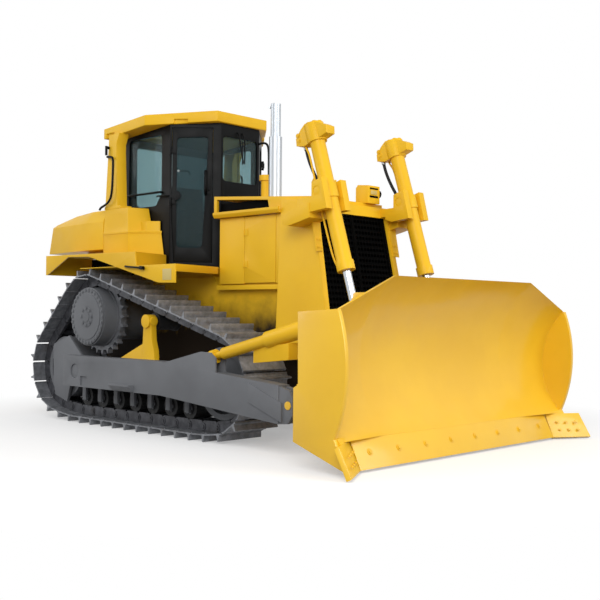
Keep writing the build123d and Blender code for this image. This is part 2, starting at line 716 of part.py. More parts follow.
def roof_under():
    """The space above the roof's underside, for trimming what reaches up to it."""
    low = roof_top(ROOF_X0 - 600) - ROOF_T - CLEAR
    high = roof_top(ROOF_X1 + 600) - ROOF_T - CLEAR
    return prism_y([(ROOF_X0 - 600, low), (ROOF_X1 + 600, high), (ROOF_X1 + 600, 4200), (ROOF_X0 - 600, 4200)],
                   -1300, 1300)


def door_place():
    """Frame of the left door: X along the door from its hinge post, Y outwards."""
    return Location((CAB_B_X, CAB_HALF, 0), (0, 0, DOOR_ANGLE))


def door_opening():
    """Outline of the door opening, X along the door and Z up, cut off at its heel."""
    x1 = DOOR_IN + DOOR_WIDE
    return [(DOOR_IN + 28, DOOR_Z0), (x1, DOOR_Z0), (x1, DOOR_Z1), (DOOR_IN, DOOR_Z1), (DOOR_IN, DOOR_Z0 + 520)]


def door_pane():
    """Outline of the door's glass, drawn in towards its foot."""
    return [(78, 1982), (362, 1982), (428, 3222), (76, 3205), (76, 2400)]


SIDE_PANE = [(CAB_X0 + 82, 2460), (CAB_B_X - 250, 2460), (CAB_B_X - 146, 2590), (CAB_B_X - 146, 3255),
             (CAB_X0 + 82, 3255)]


def front_pane():
    """Outline of the windscreen, Y across and Z up."""
    half = CAB_FRONT_HALF - 30
    return [(-half, 2735), (half, 2735), (half, 3238), (-half, 3238)]


def rear_pane():
    half = CAB_HALF - 140
    return [(-half, 2500), (half, 2500), (half, 3200), (-half, 3200)]


def pane_x(points, radius, x0, x1):
    """A pane with rounded corners from its cross outline, carried from x0 to x1."""
    face = make_face(Polyline([(x0, y, z) for y, z in points], close=True)).faces()[0]
    return extrude(face.fillet_2d(radius, face.vertices()), amount=x1 - x0, dir=(1, 0, 0))


def hinge_heights():
    return (DOOR_Z0 + 640, DOOR_Z1 - 300)


def cab_shell():
    """Hollow cab body with window and door openings, door hinge pins and the
    grab bars across the side windows."""
    shell = prism_z(cab_plan(), CAB_Z0, 3600)
    shell -= prism_z(cab_plan(CAB_WALL), CAB_Z0 + 30, 3700)
    shell -= roof_under()
    shell -= pane_x(front_pane(), PANE_R, CAB_FRONT_X - 90, CAB_FRONT_X + 40)
    shell -= pane_x(rear_pane(), PANE_R, CAB_X0 - 20, CAB_X0 + 90)
    shell -= pane(SIDE_PANE, PANE_R, -900, 900)
    opening = door_place() * prism_y(door_opening(), -200, 60)
    shell -= opening + right(opening)
    hinges = []
    for z in hinge_heights():
        pin = rod((DOOR_IN / 2, HINGE_OUT, z - 24), (DOOR_IN / 2, HINGE_OUT, z + 84), HINGE_R)
        for low in (z - 24, z + 62):
            pin += block(0, DOOR_IN - 2, -2, HINGE_OUT + HINGE_R, low, low + 22)
        hinges.append(pin)
    y = CAB_HALF + 26
    bar = rod((CAB_X0 + 76, y, 2607), (CAB_B_X - 130, y, 2607), 12)
    for x in (CAB_X0 + 76, CAB_B_X - 154):
        bar += block(x, x + 24, CAB_HALF - 2, y, 2596, 2618)
    return shell + both(door_place() * (Part() + hinges) + bar)


def cab_door():
    """Left cab door: a frame around tall glass with rounded corners, on two hinge
    knuckles, with its latch plate and pull."""
    door = prism_y(inset(door_opening(), GAP), -CAB_WALL, 0)
    door -= pane(door_pane(), PANE_R, -CAB_WALL - 1, 1)
    x1 = DOOR_IN + DOOR_WIDE - GAP
    door += pane([(x1 - 62, 2575), (x1 - 14, 2575), (x1 - 14, 2835), (x1 - 62, 2835)], 22, -2, 14)
    door += block(x1 - 50, x1 - 26, 12, 52, 2620, 2640) + block(x1 - 50, x1 - 26, 12, 52, 2770, 2790)
    door += block(x1 - 50, x1 - 26, 38, 52, 2620, 2790)
    for z in hinge_heights():
        knuckle = rod((DOOR_IN / 2, HINGE_OUT, z), (DOOR_IN / 2, HINGE_OUT, z + 60), HINGE_R + 7)
        knuckle += block(DOOR_IN / 2, 66, HINGE_OUT - 8, HINGE_OUT, z, z + 60)
        knuckle += block(34, 66, -2, HINGE_OUT, z, z + 60)
        bore = rod((DOOR_IN / 2, HINGE_OUT, z - 1), (DOOR_IN / 2, HINGE_OUT, z + 61), HINGE_R + CLEAR)
        door += knuckle - bore
    return door_place() * door


def door_glass():
    y = -CAB_WALL / 2
    return door_place() * pane(inset(door_pane(), CLEAR), PANE_R - CLEAR, y - GLASS_T / 2, y + GLASS_T / 2)


def cab_windows():
    """Fixed panes: windscreen, rear pane and both side panes."""
    mid = CAB_WALL / 2
    r = PANE_R - CLEAR
    panes = pane_x(inset(front_pane(), CLEAR), r, CAB_FRONT_X - mid - GLASS_T, CAB_FRONT_X - mid)
    panes += pane_x(inset(rear_pane(), CLEAR), r, CAB_X0 + mid, CAB_X0 + mid + GLASS_T)
    return panes + both(pane(inset(SIDE_PANE, CLEAR), r, CAB_HALF - mid - GLASS_T, CAB_HALF - mid))


def roof():
    """Roof slab, tapered in plan towards the front and rising slightly, with lamp
    recesses in its sides."""
    half = [(ROOF_X0, ROOF_HALF), (ROOF_B_X, ROOF_HALF), (ROOF_X1, ROOF_FRONT_HALF)]
    plan = half + [(x, -y) for x, y in reversed(half)]
    slab = prism_z(plan, 3000, 3800)
    rear = roof_top(ROOF_X0 - 100)
    front = roof_top(ROOF_X1 + 100)
    band = [(ROOF_X0 - 100, rear - ROOF_T), (ROOF_X1 + 100, front - ROOF_T), (ROOF_X1 + 100, front),
            (ROOF_X0 - 100, rear)]
    slab &= prism_y(band, -1200, 1200)
    recess = block(ROOF_X0 + 46, ROOF_X0 + 206, ROOF_HALF - 26, ROOF_HALF + 1, 3200, roof_top(ROOF_X0) - 62)
    angle = math.degrees(math.atan2(ROOF_FRONT_HALF - ROOF_HALF, ROOF_X1 - ROOF_B_X))
    place = Location((ROOF_B_X, ROOF_HALF, 0), (0, 0, angle))
    return slab - both(recess + place * block(330, 480, -26, 1, 3200, roof_top(900) - 70))


def rops_posts():
    """Roll-over posts beside the cab's rear corners, on wide feet on the side boxes."""
    post = prism_y([(-70, BOX_TOP + 20), (170, BOX_TOP + 20), (136, 3100), (136, 3600), (0, 3600), (-14, 3200)],
                   POST_Y0, POST_Y1) - roof_under()
    foot = block(BOX_X0 + 4, 236, POST_Y0 - 15, POST_Y1 + 6, BOX_TOP + CLEAR, BOX_TOP + 34)
    cap = prism_y([(0, 3180), (136, 3180), (330, 3600), (0, 3600)], POST_Y0, POST_Y1) - roof_under()
    return both(post + foot + cap)


def seat():
    """Operator's seat on its base."""
    cushion = block(210, 700, -250, 250, 2180, 2310)
    back = prism_y([(170, 2240), (300, 2312), (230, 2760), (130, 2760)], -240, 240)
    base = block(270, 640, -190, 190, CAB_Z0 + 30 + CLEAR, 2181)
    return cushion + back + base


def consoles():
    """Dash pedestal at the windscreen and arm consoles beside the seat."""
    dash = prism_y([(960, CAB_Z0 + 30 + CLEAR), (1140, CAB_Z0 + 30 + CLEAR), (1140, 2600), (1060, 2650),
                    (960, 2560)], -180, 180)
    arm = block(330, 760, 290, 420, CAB_Z0 + 30 + CLEAR, 2420)
    return dash + both(arm)


# ================================================================ rear body
def level(points, z):
    """A level outline (x, y) as a section at a height."""
    return make_face(Polyline([(x, y, z) for x, y in points], close=True))


def fenders():
    """Track fenders in one piece with the cab platform: decks, outer skirts with an
    arched lower edge, oblique front steps, tail plates and the pedestals on the hull."""
    t = 14.0
    inner = CAB_HALF + GAP
    low = SILL_Z - SILL_T
    notch = HOOD_HALF + GAP
    arch = [(FENDER_X0, 1688), (FENDER_X0 + 30, 1688), (-330, 1888), (90, 1876), (1366, 1566),
            (FENDER_X1, 1560), (FENDER_X1, SILL_Z), (STEP_X1 + 16, SILL_Z), (STEP_X1, DECK_Z),
            (FENDER_X0, DECK_Z + 16)]
    skirt = prism_y(arch, FENDER_HALF - t, FENDER_HALF)
    deck = prism_z([(DECK_BEND, inner), (DECK_BEND, FENDER_HALF), (STEP_X1, FENDER_HALF), (STEP_X0, inner)],
                   DECK_Z - t, DECK_Z)
    deck += prism_y([(FENDER_X0, DECK_Z + 16 - t), (DECK_BEND, DECK_Z - t), (-60, DECK_Z - t), (-60, DECK_Z),
                     (DECK_BEND, DECK_Z), (FENDER_X0, DECK_Z + 16)], 0, FENDER_HALF)
    riser = prism_z([(STEP_X0 - t, inner), (STEP_X0, inner), (STEP_X1, FENDER_HALF),
                     (STEP_X1 - t, FENDER_HALF)], low, DECK_Z)
    wall = block(-80, STEP_X0 - 4, inner, inner + t, low, DECK_Z)
    end = block(-60 - t, -60, 0, inner + t, low, DECK_Z)
    sill = prism_z([(-80, 0), (-80, FENDER_HALF), (FENDER_X1, FENDER_HALF), (SILL_X1, notch),
                    (HOOD_X0 - 40, notch), (HOOD_X0 - 40, 0)], low, SILL_Z)
    flange = prism_z([(SILL_X1 - t, notch), (SILL_X1, notch), (FENDER_X1, FENDER_HALF),
                      (FENDER_X1 - t, FENDER_HALF)], SILL_Z - 76, SILL_Z)
    tail = block(FENDER_X0, FENDER_X0 + t, HULL_HALF + 200, FENDER_HALF, 1688, DECK_Z + 10)
    seat_block = block(-50, 1180, 0, HULL_HALF - 60, HULL_TOP + CLEAR, SILL_Z - 1)
    rear_block = block(-540, -120, 0, HULL_HALF - 60, HULL_TOP + CLEAR, DECK_Z - 4)
    return both(skirt + deck + riser + wall + end + sill + flange + tail + seat_block + rear_block)


def fuel_tank():
    """Fuel tank across the rear, bevelled on top and drawn in towards its tail."""
    half = BOX_OUT
    low = [(TANK_X1, half), (-449, half), (TANK_X0, half - 130)]
    low = low + [(x, -y) for x, y in reversed(low)]
    top = [(TANK_X1, half - 60), (-449, half - 90), (TANK_X0 + 420, half - 260)]
    top = top + [(x, -y) for x, y in reversed(top)]
    body = prism_z(low, TANK_Z0, TANK_Z1) + loft([level(low, TANK_Z1), level(top, TANK_TOP)])
    rake = prism_y([(TANK_X0 - 10, TANK_Z0 - 10), (TANK_X0, TANK_Z0 - 10), (TANK_X0 + 130, TANK_Z1 + 60),
                    (TANK_X0 - 10, TANK_Z1 + 60)], -1200, 1200)
    foot = block(TANK_X0 + 680, TANK_X1 - 60, -CAB_HALF, CAB_HALF, DECK_Z + 16 + CLEAR, TANK_Z0 + 1)
    return body - rake + foot


def side_boxes():
    """Stepped boxes beside the cab, on the fender decks: a lower box under a lipped
    cover, an upper box drawn in towards its top, and a small box in front of it."""
    inner = CAB_HALF + 12
    rear = BOX_X0 - 4
    cover = [(rear, inner), (rear, BOX_OUT + 6), (401, BOX_OUT + 6), (688, inner)]
    lower = loft([level([(rear, inner), (rear, BOX_OUT), (405, BOX_OUT), (729, inner)], DECK_Z + CLEAR),
                  level([(rear, inner), (rear, BOX_OUT), (395, BOX_OUT), (680, inner)], BOX_Z1 - 10)])
    upper = loft([level([(BOX_X0, inner), (BOX_X0, BOX_OUT), (395, BOX_OUT), (518, inner)], BOX_Z1 + 10),
                  level([(BOX_X0 + 20, inner), (BOX_X0 + 18, BOX_OUT - 6), (382, BOX_OUT - 6), (444, inner)],
                        BOX_TOP)])
    small = prism_z([(440, inner), (440, inner + 110), (556, inner + 110), (664, inner + 10), (664, inner)],
                    BOX_Z1 + 10, BOX_Z1 + 121)
    return both(lower + prism_z(cover, BOX_Z1 - 12, BOX_Z1 + 12) + upper + small)


def drawbar():
    """Drawbar bracket with a pin bore at the back of the hull."""
    x0 = HULL_X0 - 330
    jaw = block(x0, HULL_X0 - CLEAR, -110, 110, 560, 740)
    jaw -= block(x0 - 1, x0 + 200, -120, 120, 615, 685)
    return jaw - rod((x0 + 90, 0, 500), (x0 + 90, 0, 800), 32)


# ================================================================ lift cylinders
def along(distance, y=LIFT_Y, side=0.0):
    """A point on the lift cylinder's line, down from its pivot and off to a side."""
    return (YOKE_X + distance * math.sin(LEAN) + side * math.cos(LEAN), y,
            YOKE_Z - distance * math.cos(LEAN) + side * math.sin(LEAN))


def lift_mounts():
    """Bearing blocks that carry the lift cylinders' trunnions, on cast arms beside
    the guard, tied together behind the barrels."""
    block_side = [(3066, 2490), (3190, 2535), (3262, 2240), (3040, 2215), (2960, 2240), (2960, 2352),
                  (3066, 2357)]
    arm = [(2680, 2120), (2760, 2100), (2900, 2130), (3045, 2165), (3045, 2300), (2980, 2290), (2840, 2262),
           (2700, 2205)]
    y0 = LIFT_Y - 172
    y1 = LIFT_Y + 172
    yoke = prism_y(block_side, y0, LIFT_Y - 92) + prism_y(block_side, LIFT_Y + 92, y1)
    yoke += block(2880, 3000, y0, y1, 2268, 2352) + prism_y(arm, GUARD_HALF - 20, y1 + 6)
    yoke -= disc_y(YOKE_X, YOKE_Z, y0 - 1, y1 + 10, TRUNNION_PIN_R + 1)
    solid_guard = loft([flat(GUARD_X0, guard_front(GUARD_BASE), guard_half(GUARD_BASE), GUARD_BASE),
                        flat(GUARD_X0, guard_front(2500), guard_half(2500), 2500)])
    return both(yoke - solid_guard - radiator_guard())


def lift_barrel():
    """Left lift cylinder: tube, head with its port block, collar, trunnions, gland."""
    head = [(-130, -690), (-60, -725), (50, -705), (150, -640), (195, -600), (178, -530), (74, -523),
            (-125, -520), (-220, -560), (-208, -630)]
    barrel = rod(along(-BARREL_UP), along(BARREL_DOWN), BARREL_R)
    barrel += rod(along(-BARREL_UP - HEAD_H + 5), along(-BARREL_UP + 10), BARREL_R + 21)
    barrel += prism_y([along(d, side=s)[::2] for s, d in head], LIFT_Y - 60, LIFT_Y + 60)
    barrel += rod(along(BARREL_DOWN - 90), along(BARREL_DOWN), BARREL_R + 12)
    barrel += rod(along(-70), along(70), BARREL_R + 14)
    barrel += disc_y(YOKE_X, YOKE_Z, LIFT_Y - 168, LIFT_Y + 168, TRUNNION_PIN_R)
    return barrel - rod(along(-BARREL_UP - HEAD_H + 30), along(BARREL_DOWN + 1), ROD_R + 1)


def lift_rod():
    """Left lift rod with the eye at its lower end."""
    bar = rod(along(ROD_PIN - ROD_L), along(ROD_PIN - 60), ROD_R)
    x, y, z = along(ROD_PIN)
    eye = disc_y(x, z, LIFT_Y - 42, LIFT_Y + 42, 88)
    return bar + eye - disc_y(x, z, LIFT_Y - 50, LIFT_Y + 50, ROD_PIN_R + ROD_DRIFT)


# ================================================================ push arms and blade
def arm_top(x):
    """Height of the push arm's top face in front of its bend."""
    return TRUNNION_Z + (ARM_FRONT_Z - TRUNNION_Z) * (x - ARM_BEND_X) / (ARM_FRONT_X - ARM_BEND_X) + ARM_H / 2


def push_arm():
    """Left push arm: box beam bent down to the blade, bored at the rear, forked in
    front, with a step, the tilt strut's bracket and a doubler plate."""
    h = ARM_H / 2
    beam = [(ARM_END_X, TRUNNION_Z - h), (ARM_BEND_X, TRUNNION_Z - h), (ARM_FRONT_X, ARM_FRONT_Z - h),
            (ARM_FRONT_X, ARM_FRONT_Z + h), (ARM_BEND_X, TRUNNION_Z + h), (ARM_END_X, TRUNNION_Z + h)]
    arm = prism_y(beam, ARM_Y0, ARM_Y1)
    arm -= disc_y(TRUNNION_X, TRUNNION_Z, ARM_Y0 - 1, ARM_Y1 + 1, TRUNNION_R + 1)
    arm -= block(202, 333, ARM_Y1 - 16, ARM_Y1 + 1, 452, 553)
    fork = [(ARM_FRONT_X - 1, ARM_FRONT_Z + h - 8), (ARM_FRONT_X + 120, ARM_FRONT_Z + h - 40),
            (ARM_FRONT_X + 165, ARM_FRONT_Z + 60), (ARM_FRONT_X + 165, ARM_FRONT_Z - 80),
            (ARM_FRONT_X + 110, ARM_FRONT_Z - h + 10), (ARM_FRONT_X - 1, ARM_FRONT_Z - h)]
    for y in (ARM_Y0 + 8, ARM_Y1 - 38):
        arm += prism_y(fork, y, y + 30)
    arm -= disc_y(ARM_PIN_X, ARM_FRONT_Z, ARM_Y0, ARM_Y1, ARM_PIN_R + CLEAR)
    x, y, z = STRUT_START
    bracket = [(ARM_BEND_X - 2, TRUNNION_Z + h - 20), (x - 50, z + 61), (x + 96, z + 57), (x + 169, z + 6),
               (x + 170, arm_top(x + 170) - 10)]
    for y in (ARM_Y - 67, ARM_Y + 52):
        arm += prism_y(bracket, y, y + 15)
    step = [(ARM_Y1 - 1, 440), (ARM_Y1 + 12, 440), (ARM_Y1 + 66, 494), (ARM_Y1 + 66, 510), (ARM_Y1 - 1, 510)]
    arm += prism_x(step, 836, 1190)
    rear = arm_top(2929)
    doubler = [(2929, rear - 30), (ARM_FRONT_X + 45, ARM_FRONT_Z + 20), (ARM_FRONT_X + 45, ARM_FRONT_Z - 150),
               (2929, rear - 200)]
    return arm + prism_y(doubler, ARM_Y1 - 9, ARM_Y1 + 12)


def strut_point(t):
    """A point on the tilt strut, from its pin on the arm to its pin on the blade."""
    return tuple(a + (b - a) * t for a, b in zip(STRUT_START, STRUT_END))


def tilt_strut():
    """Tilt cylinder between push arm and blade: rod end, tube, barrel, eye and the
    plate guard under its barrel."""
    strut = rod(strut_point(0.02), strut_point(0.14), 34) + rod(strut_point(0.135), strut_point(0.53), 56)
    strut += rod(strut_point(0.52), strut_point(0.92), 78) + rod(strut_point(0.9), strut_point(0.99), 30)
    x, y, z = STRUT_START
    strut += disc_y(x, z, y - 52 + CLEAR, y + 52 - CLEAR, 58)
    x, y, z = STRUT_END
    strut += disc_y(x, z, y - 36 + CLEAR, y + 36 - CLEAR, 68)
    return strut + prism_y([(2853, 806), (3306, 852), (3306, 1000), (2853, 935)], 1180, 1310)


def mold_front(section, y, back):
    """Moldboard front line at y, moved back, as an arc from foot to top."""
    foot_x, deep_x, deep_z, top_x, top_z = section
    return ThreePointArc((foot_x - back, y, EDGE_TOP_Z), (deep_x - back, y, deep_z), (top_x - back, y, top_z))


def mold_section(section, y):
    """Moldboard section at y: its front and back arcs, closed at top and foot."""
    front = mold_front(section, y, 0)
    back = mold_front(section, y, MOLD_T)
    return make_face([front, Line(front @ 1, back @ 1), back, Line(back @ 0, front @ 0)])


def ahead_section(section, y):
    """The region ahead of the moldboard's back face at y."""
    back = mold_front(section, y, MOLD_T)
    foot_x, deep_x, deep_z, top_x, top_z = section
    far = END_TOE_X + 600
    rest = Polyline([back @ 1, (top_x, y, top_z + 320), (far, y, top_z + 320), (far, y, 0),
                     (foot_x - MOLD_T + 60, y, 0), back @ 0])
    return make_face([back] + rest.edges())


def behind_section(section, y):
    """The moldboard and all the region behind it at y."""
    front = mold_front(section, y, -3 * CLEAR)
    rest = Polyline([front @ 1, (BACK_X - 220, y, section[4]), (BACK_X - 220, y, EDGE_TOP_Z), front @ 0])
    return make_face([front] + rest.edges())


def across(section):
    """A section carried over the blade's middle and lofted out to both ends."""
    middle = extrude(section(MIDDLE, -WING_Y), amount=2 * WING_Y, dir=(0, 1, 0))
    return middle + both(loft([section(MIDDLE, WING_Y), section(WING, BLADE_HALF - END_T)]))


def moldboard():
    """Curved moldboard with forward wings that drop to its end plates."""
    return across(mold_section) + both(end_plate())


def end_plate():
    """Left end plate with its convex front edge and pointed toe."""
    y0 = BLADE_HALF - END_T
    foot = (WING_FOOT_X - 10, y0, EDGE_TOP_Z + 30)
    top = (WING_TOP_X + 6, y0, WING_TOP_Z - 4)
    front = ThreePointArc(foot, (END_BULGE_X, y0, END_BULGE_Z), top)
    rest = Polyline([top, (BACK_X + 44, y0, WING_TOP_Z - 29), (BACK_X + 52, y0, 690), (BACK_X, y0, 662),
                     (BACK_X, y0, 228), (END_TOE_X, y0, END_TOE_Z), foot])
    return extrude(make_face([front] + rest.edges()), amount=END_T, dir=(0, 1, 0))


def back_frame():
    """Beams and ribs behind the moldboard, with the lugs for arms, struts and rods."""
    inner = BLADE_HALF - END_T - CLEAR
    top_half = BLADE_HALF - 519
    lower = [(BACK_X, 300), (4240, 262), (4240, 560), (BACK_X, 690)]
    upper = [(BACK_X + 40, 1120), (4200, 1120), (4300, 1440), (4010, 1440)]
    rib = [(BACK_X + 20, 560), (4200, 560), (4200, 1130), (BACK_X + 44, 1130)]
    frame = prism_y(lower, -inner, inner) + prism_y(upper, -top_half, top_half)
    for share in (0.17, 0.51, 0.79):
        y = BLADE_HALF * share
        frame += both(prism_y(rib, y - 14, y + 14))
    return frame - across(ahead_section) + both(blade_lugs())


def blade_lugs():
    """Left lugs and pins for the lift rod, the push arm and the tilt strut."""
    x, y, z = along(ROD_PIN)
    root = BACK_X + 5
    ear = [(x - 50, z - 30), (x + 40, z - 82), (root, z - 120), (root, z - 12), (x + 30, z + 50),
           (x - 20, z + 50), (x - 50, z + 26)]
    lugs = prism_y(ear, y - 72, y - 48) + prism_y(ear, y + 48, y + 72) + disc_y(x, z, y - 72, y + 72, ROD_PIN_R)
    z = ARM_FRONT_Z
    tongue = [(ARM_PIN_X - 60, z - 70), (root, z - 150), (root, z + 170), (ARM_PIN_X - 60, z + 70)]
    lugs += prism_y(tongue, ARM_Y - 28, ARM_Y + 28) + disc_y(ARM_PIN_X, z, ARM_Y - 28, ARM_Y + 28, 92)
    lugs += disc_y(ARM_PIN_X, z, ARM_Y0 + 2, ARM_Y1 - 2, ARM_PIN_R)
    x, y, z = STRUT_END
    root = BACK_X + 90
    ear = [(x - 40, z - 50), (root, z - 110), (root, z + 60), (x, z + 66), (x - 40, z + 30)]
    return lugs + prism_y(ear, y - 60, y - 36) + prism_y(ear, y + 36, y + 60)


def cutting_edge():
    """Flat bolted edge along the middle of the blade."""
    dx = EDGE_TIP_X - EDGE_TOP_X
    dz = EDGE_TIP_Z - EDGE_TOP_Z
    length = math.hypot(dx, dz)
    nx = dz / length * EDGE_T
    edge = [(EDGE_TOP_X, EDGE_TOP_Z - CLEAR), (EDGE_TIP_X, EDGE_TIP_Z), (EDGE_TIP_X + nx, EDGE_TIP_Z),
            (EDGE_TOP_X + nx, EDGE_TOP_Z - CLEAR)]
    return prism_y(edge, -BIT_Y0 + CLEAR, BIT_Y0 - CLEAR)


def end_bit():
    """Left end bit, turned forward and widening to its corner."""
    outer = [(EDGE_TOP_X + BIT_FORWARD - 25, BIT_Y1, EDGE_TOP_Z - 6),
             (EDGE_TIP_X + BIT_FORWARD, BIT_Y1, EDGE_TIP_Z)]
    inner = [(EDGE_TOP_X, BIT_Y0 + 24, EDGE_TOP_Z - CLEAR), (EDGE_TIP_X, BIT_Y0, EDGE_TIP_Z)]
    ring = [inner[0], outer[0], outer[1], inner[1]]
    a = Vector(*inner[1]) - Vector(*inner[0])
    b = Vector(*outer[1]) - Vector(*inner[1])
    normal = a.cross(b).normalized()
    if normal.X > 0:
        normal = -normal
    plane = Plane(origin=Vector(*inner[1]), x_dir=b, z_dir=normal)
    points = [plane.to_local_coords(Vector(*p)) for p in ring]
    face = make_face(Polyline([(p.X, p.Y) for p in points], close=True))
    return plane * extrude(face, amount=EDGE_T + 6) - end_plate() - across(behind_section)


# ================================================================ assembly
def nodes():
    """Every node by name; like pieces of the fixed machine share one."""
    made = {}

    def pair(name, shape):
        made[name + "_left"] = shape
        made[name + "_right"] = right(shape)

    pair("track", track_loop())
    made["roller_frames"] = both(roller_frame())
    made["track_rollers"] = both(track_rollers())
    made["idlers"] = both(idlers())
    made["carrier_posts"] = both(carrier_posts())
    made["sprockets"] = both(sprocket())
    made["final_drives"] = both(final_drive())
    made["main_frame"] = main_frame()
    made["cross_members"] = cross_members()
    made["engine"] = engine()
    made["radiator_guard"] = radiator_guard()
    made["grille"] = grille()
    made["radiator"] = radiator()
    made["hood"] = hood()
    made["side_panels"] = side_panels()
    pair("engine_door", engine_door())
    made["exhaust_stack"] = exhaust_stack()
    made["air_intake"] = air_intake()
    made["lamp_box"] = lamp_box()
    made["lamp"] = lamp()
    made["cab_shell"] = cab_shell()
    pair("cab_door", cab_door())
    pair("door_glass", door_glass())
    made["cab_windows"] = cab_windows()
    made["cab_roof"] = roof()
    made["rops_posts"] = rops_posts()
    made["seat"] = seat()
    made["consoles"] = consoles()
    made["fenders"] = fenders()
    made["fuel_tank"] = fuel_tank()
    made["side_boxes"] = side_boxes()
    made["drawbar"] = drawbar()
    made["lift_mounts"] = lift_mounts()
    pair("lift_barrel", lift_barrel())
    pair("lift_rod", lift_rod())
    made["push_arms"] = both(push_arm())
    made["tilt_struts"] = both(tilt_strut())
    made["moldboard"] = moldboard()
    made["blade_back"] = back_frame()
    made["cutting_edges"] = cutting_edge() + both(end_bit())
    return made


def main():
    os.makedirs("parts", exist_ok=True)
    made = nodes()
    rear = min(shape.bounding_box().min.X for shape in made.values())
    front = max(shape.bounding_box().max.X for shape in made.values())
    origin_x = (rear + front) / 2
    print("origin_x", origin_x, "front idler", FRONT_IDLER_X)
    for name, shape in made.items():
        export_step(Pos(-origin_x, 0, 0) * shape, f"parts/{name}.step")


main()
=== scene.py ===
import json
import math

import bmesh
import bpy
from bpy.props import FloatProperty, FloatVectorProperty, IntProperty, PointerProperty
from mathutils import Matrix, Vector


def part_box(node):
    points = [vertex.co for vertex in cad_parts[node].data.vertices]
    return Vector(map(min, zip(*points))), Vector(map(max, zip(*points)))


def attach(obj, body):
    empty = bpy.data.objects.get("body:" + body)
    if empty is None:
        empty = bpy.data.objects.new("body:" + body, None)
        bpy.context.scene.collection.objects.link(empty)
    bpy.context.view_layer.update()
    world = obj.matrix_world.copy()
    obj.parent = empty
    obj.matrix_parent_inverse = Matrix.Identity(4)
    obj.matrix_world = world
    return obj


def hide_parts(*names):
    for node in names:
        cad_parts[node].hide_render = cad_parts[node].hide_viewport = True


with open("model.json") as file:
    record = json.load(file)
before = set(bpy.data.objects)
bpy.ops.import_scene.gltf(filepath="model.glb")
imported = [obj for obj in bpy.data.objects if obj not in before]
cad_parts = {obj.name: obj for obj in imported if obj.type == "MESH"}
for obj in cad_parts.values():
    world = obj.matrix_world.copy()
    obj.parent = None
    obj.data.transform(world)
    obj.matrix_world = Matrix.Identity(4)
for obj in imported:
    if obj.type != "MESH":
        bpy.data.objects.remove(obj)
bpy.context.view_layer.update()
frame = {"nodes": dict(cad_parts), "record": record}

bl_info = {
    "name": "Crawler bulldozer finish",
    "version": (1, 0, 0),
    "blender": (4, 5, 0),
    "location": "3D View > Sidebar > Bulldozer",
    "description": "Finishes a packed crawler bulldozer: paint, tracks, fasteners, hoses, cab trim and stage",
    "category": "Object",
}

MM = 0.001

# The sprocket axis is the datum along the machine. Widths are measured from its middle
# plane and heights from the ground.
SPROCKET_LO, SPROCKET_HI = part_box("sprockets")
DATUM_X = (SPROCKET_LO[0] + SPROCKET_HI[0]) / 2
SPROCKET_Z = (SPROCKET_LO[2] + SPROCKET_HI[2]) / 2
TRACK_LO, TRACK_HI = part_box("track_left")
TRACK_Y = (TRACK_LO[1] + TRACK_HI[1]) / 2
SHOE_W = TRACK_HI[1] - TRACK_LO[1]


def at(x, y, z):
    """A place in millimetres from the datum, as a point of the frame."""
    return Vector((DATUM_X + x * MM, y * MM, z * MM))


# ------------------------------------------------------------------ settings
def length(name, description, default):
    """A setting in metres."""
    return FloatProperty(name=name, description=description, default=default, unit="LENGTH")


class TrackSettings(bpy.types.PropertyGroup):
    """Sizes of the crawler tracks."""
    pitch: length("Pitch", "Pin to pin", 0.216)
    shoes: IntProperty(name="Shoes", description="Shoes in one track", default=40)
    wheel_radius: length("Idler pin radius", "Idler axis to track pins", 0.430)
    grouser: length("Grouser", "Grouser above the shoe", 0.064)
    seat: length("Shoe seat", "Pin line to shoe seat", 0.052)
    plate: length("Shoe plate", "Thickness of a shoe", 0.014)


class BoltSettings(bpy.types.PropertyGroup):
    """Sizes of the fasteners."""
    small: length("Small bolt", "Across a panel bolt's head", 0.022)
    large: length("Large bolt", "Across an edge bolt's head", 0.032)


class PaintSettings(bpy.types.PropertyGroup):
    """Colours of the machine, linear."""
    yellow: FloatVectorProperty(name="Machine yellow", description="Enamel on body and blade",
                                subtype="COLOR", size=3, default=(0.812, 0.484, 0.016))
    grey: FloatVectorProperty(name="Undercarriage grey", description="Enamel on arms and frames",
                              subtype="COLOR", size=3, default=(0.150, 0.156, 0.168))


# ------------------------------------------------------------------ materials
def srgb(code):
    """A hex colour as linear red, green, blue, alpha."""
    values = [int(code[i:i + 2], 16) / 255 for i in (1, 3, 5)]
    return tuple(v / 12.92 if v <= 0.04045 else ((v + 0.055) / 1.055) ** 2.4 for v in values) + (1.0,)


def feed(node, inputs):
    """Links and constants into a node's own sockets."""
    for key, source in inputs.items():
        if isinstance(source, bpy.types.NodeSocket):
            node.id_data.links.new(source, node.inputs[key])
        else:
            node.inputs[key].default_value = source


def add(tree, kind, inputs=None, **settings):
    """A node with its settings and what goes into its sockets."""
    node = tree.nodes.new(kind)
    for key, value in settings.items():
        setattr(node, key, value)
    feed(node, inputs or {})
    return node


def calc(tree, operation, first, second):
    """Two values combined."""
    return add(tree, "ShaderNodeMath", {0: first, 1: second}, operation=operation).outputs[0]


def start_material(name):
    """A material with its Principled shader and the object's coordinates."""
    made = bpy.data.materials.new(name)
    made.use_nodes = True
    tree = made.node_tree
    tree.nodes.clear()
    shader = add(tree, "ShaderNodeBsdfPrincipled")
    add(tree, "ShaderNodeOutputMaterial", {0: shader.outputs[0]})
    place = add(tree, "ShaderNodeTexCoord").outputs["Object"]
    return made, tree, shader, place


def blotch(tree, place, size_mm, detail=3.0):
    """Noise whose grains are about size_mm across."""
    return add(tree, "ShaderNodeTexNoise", {"Vector": place, "Scale": 1000.0 / size_mm, "Detail": detail,
                                            "Roughness": 0.55}).outputs["Fac"]


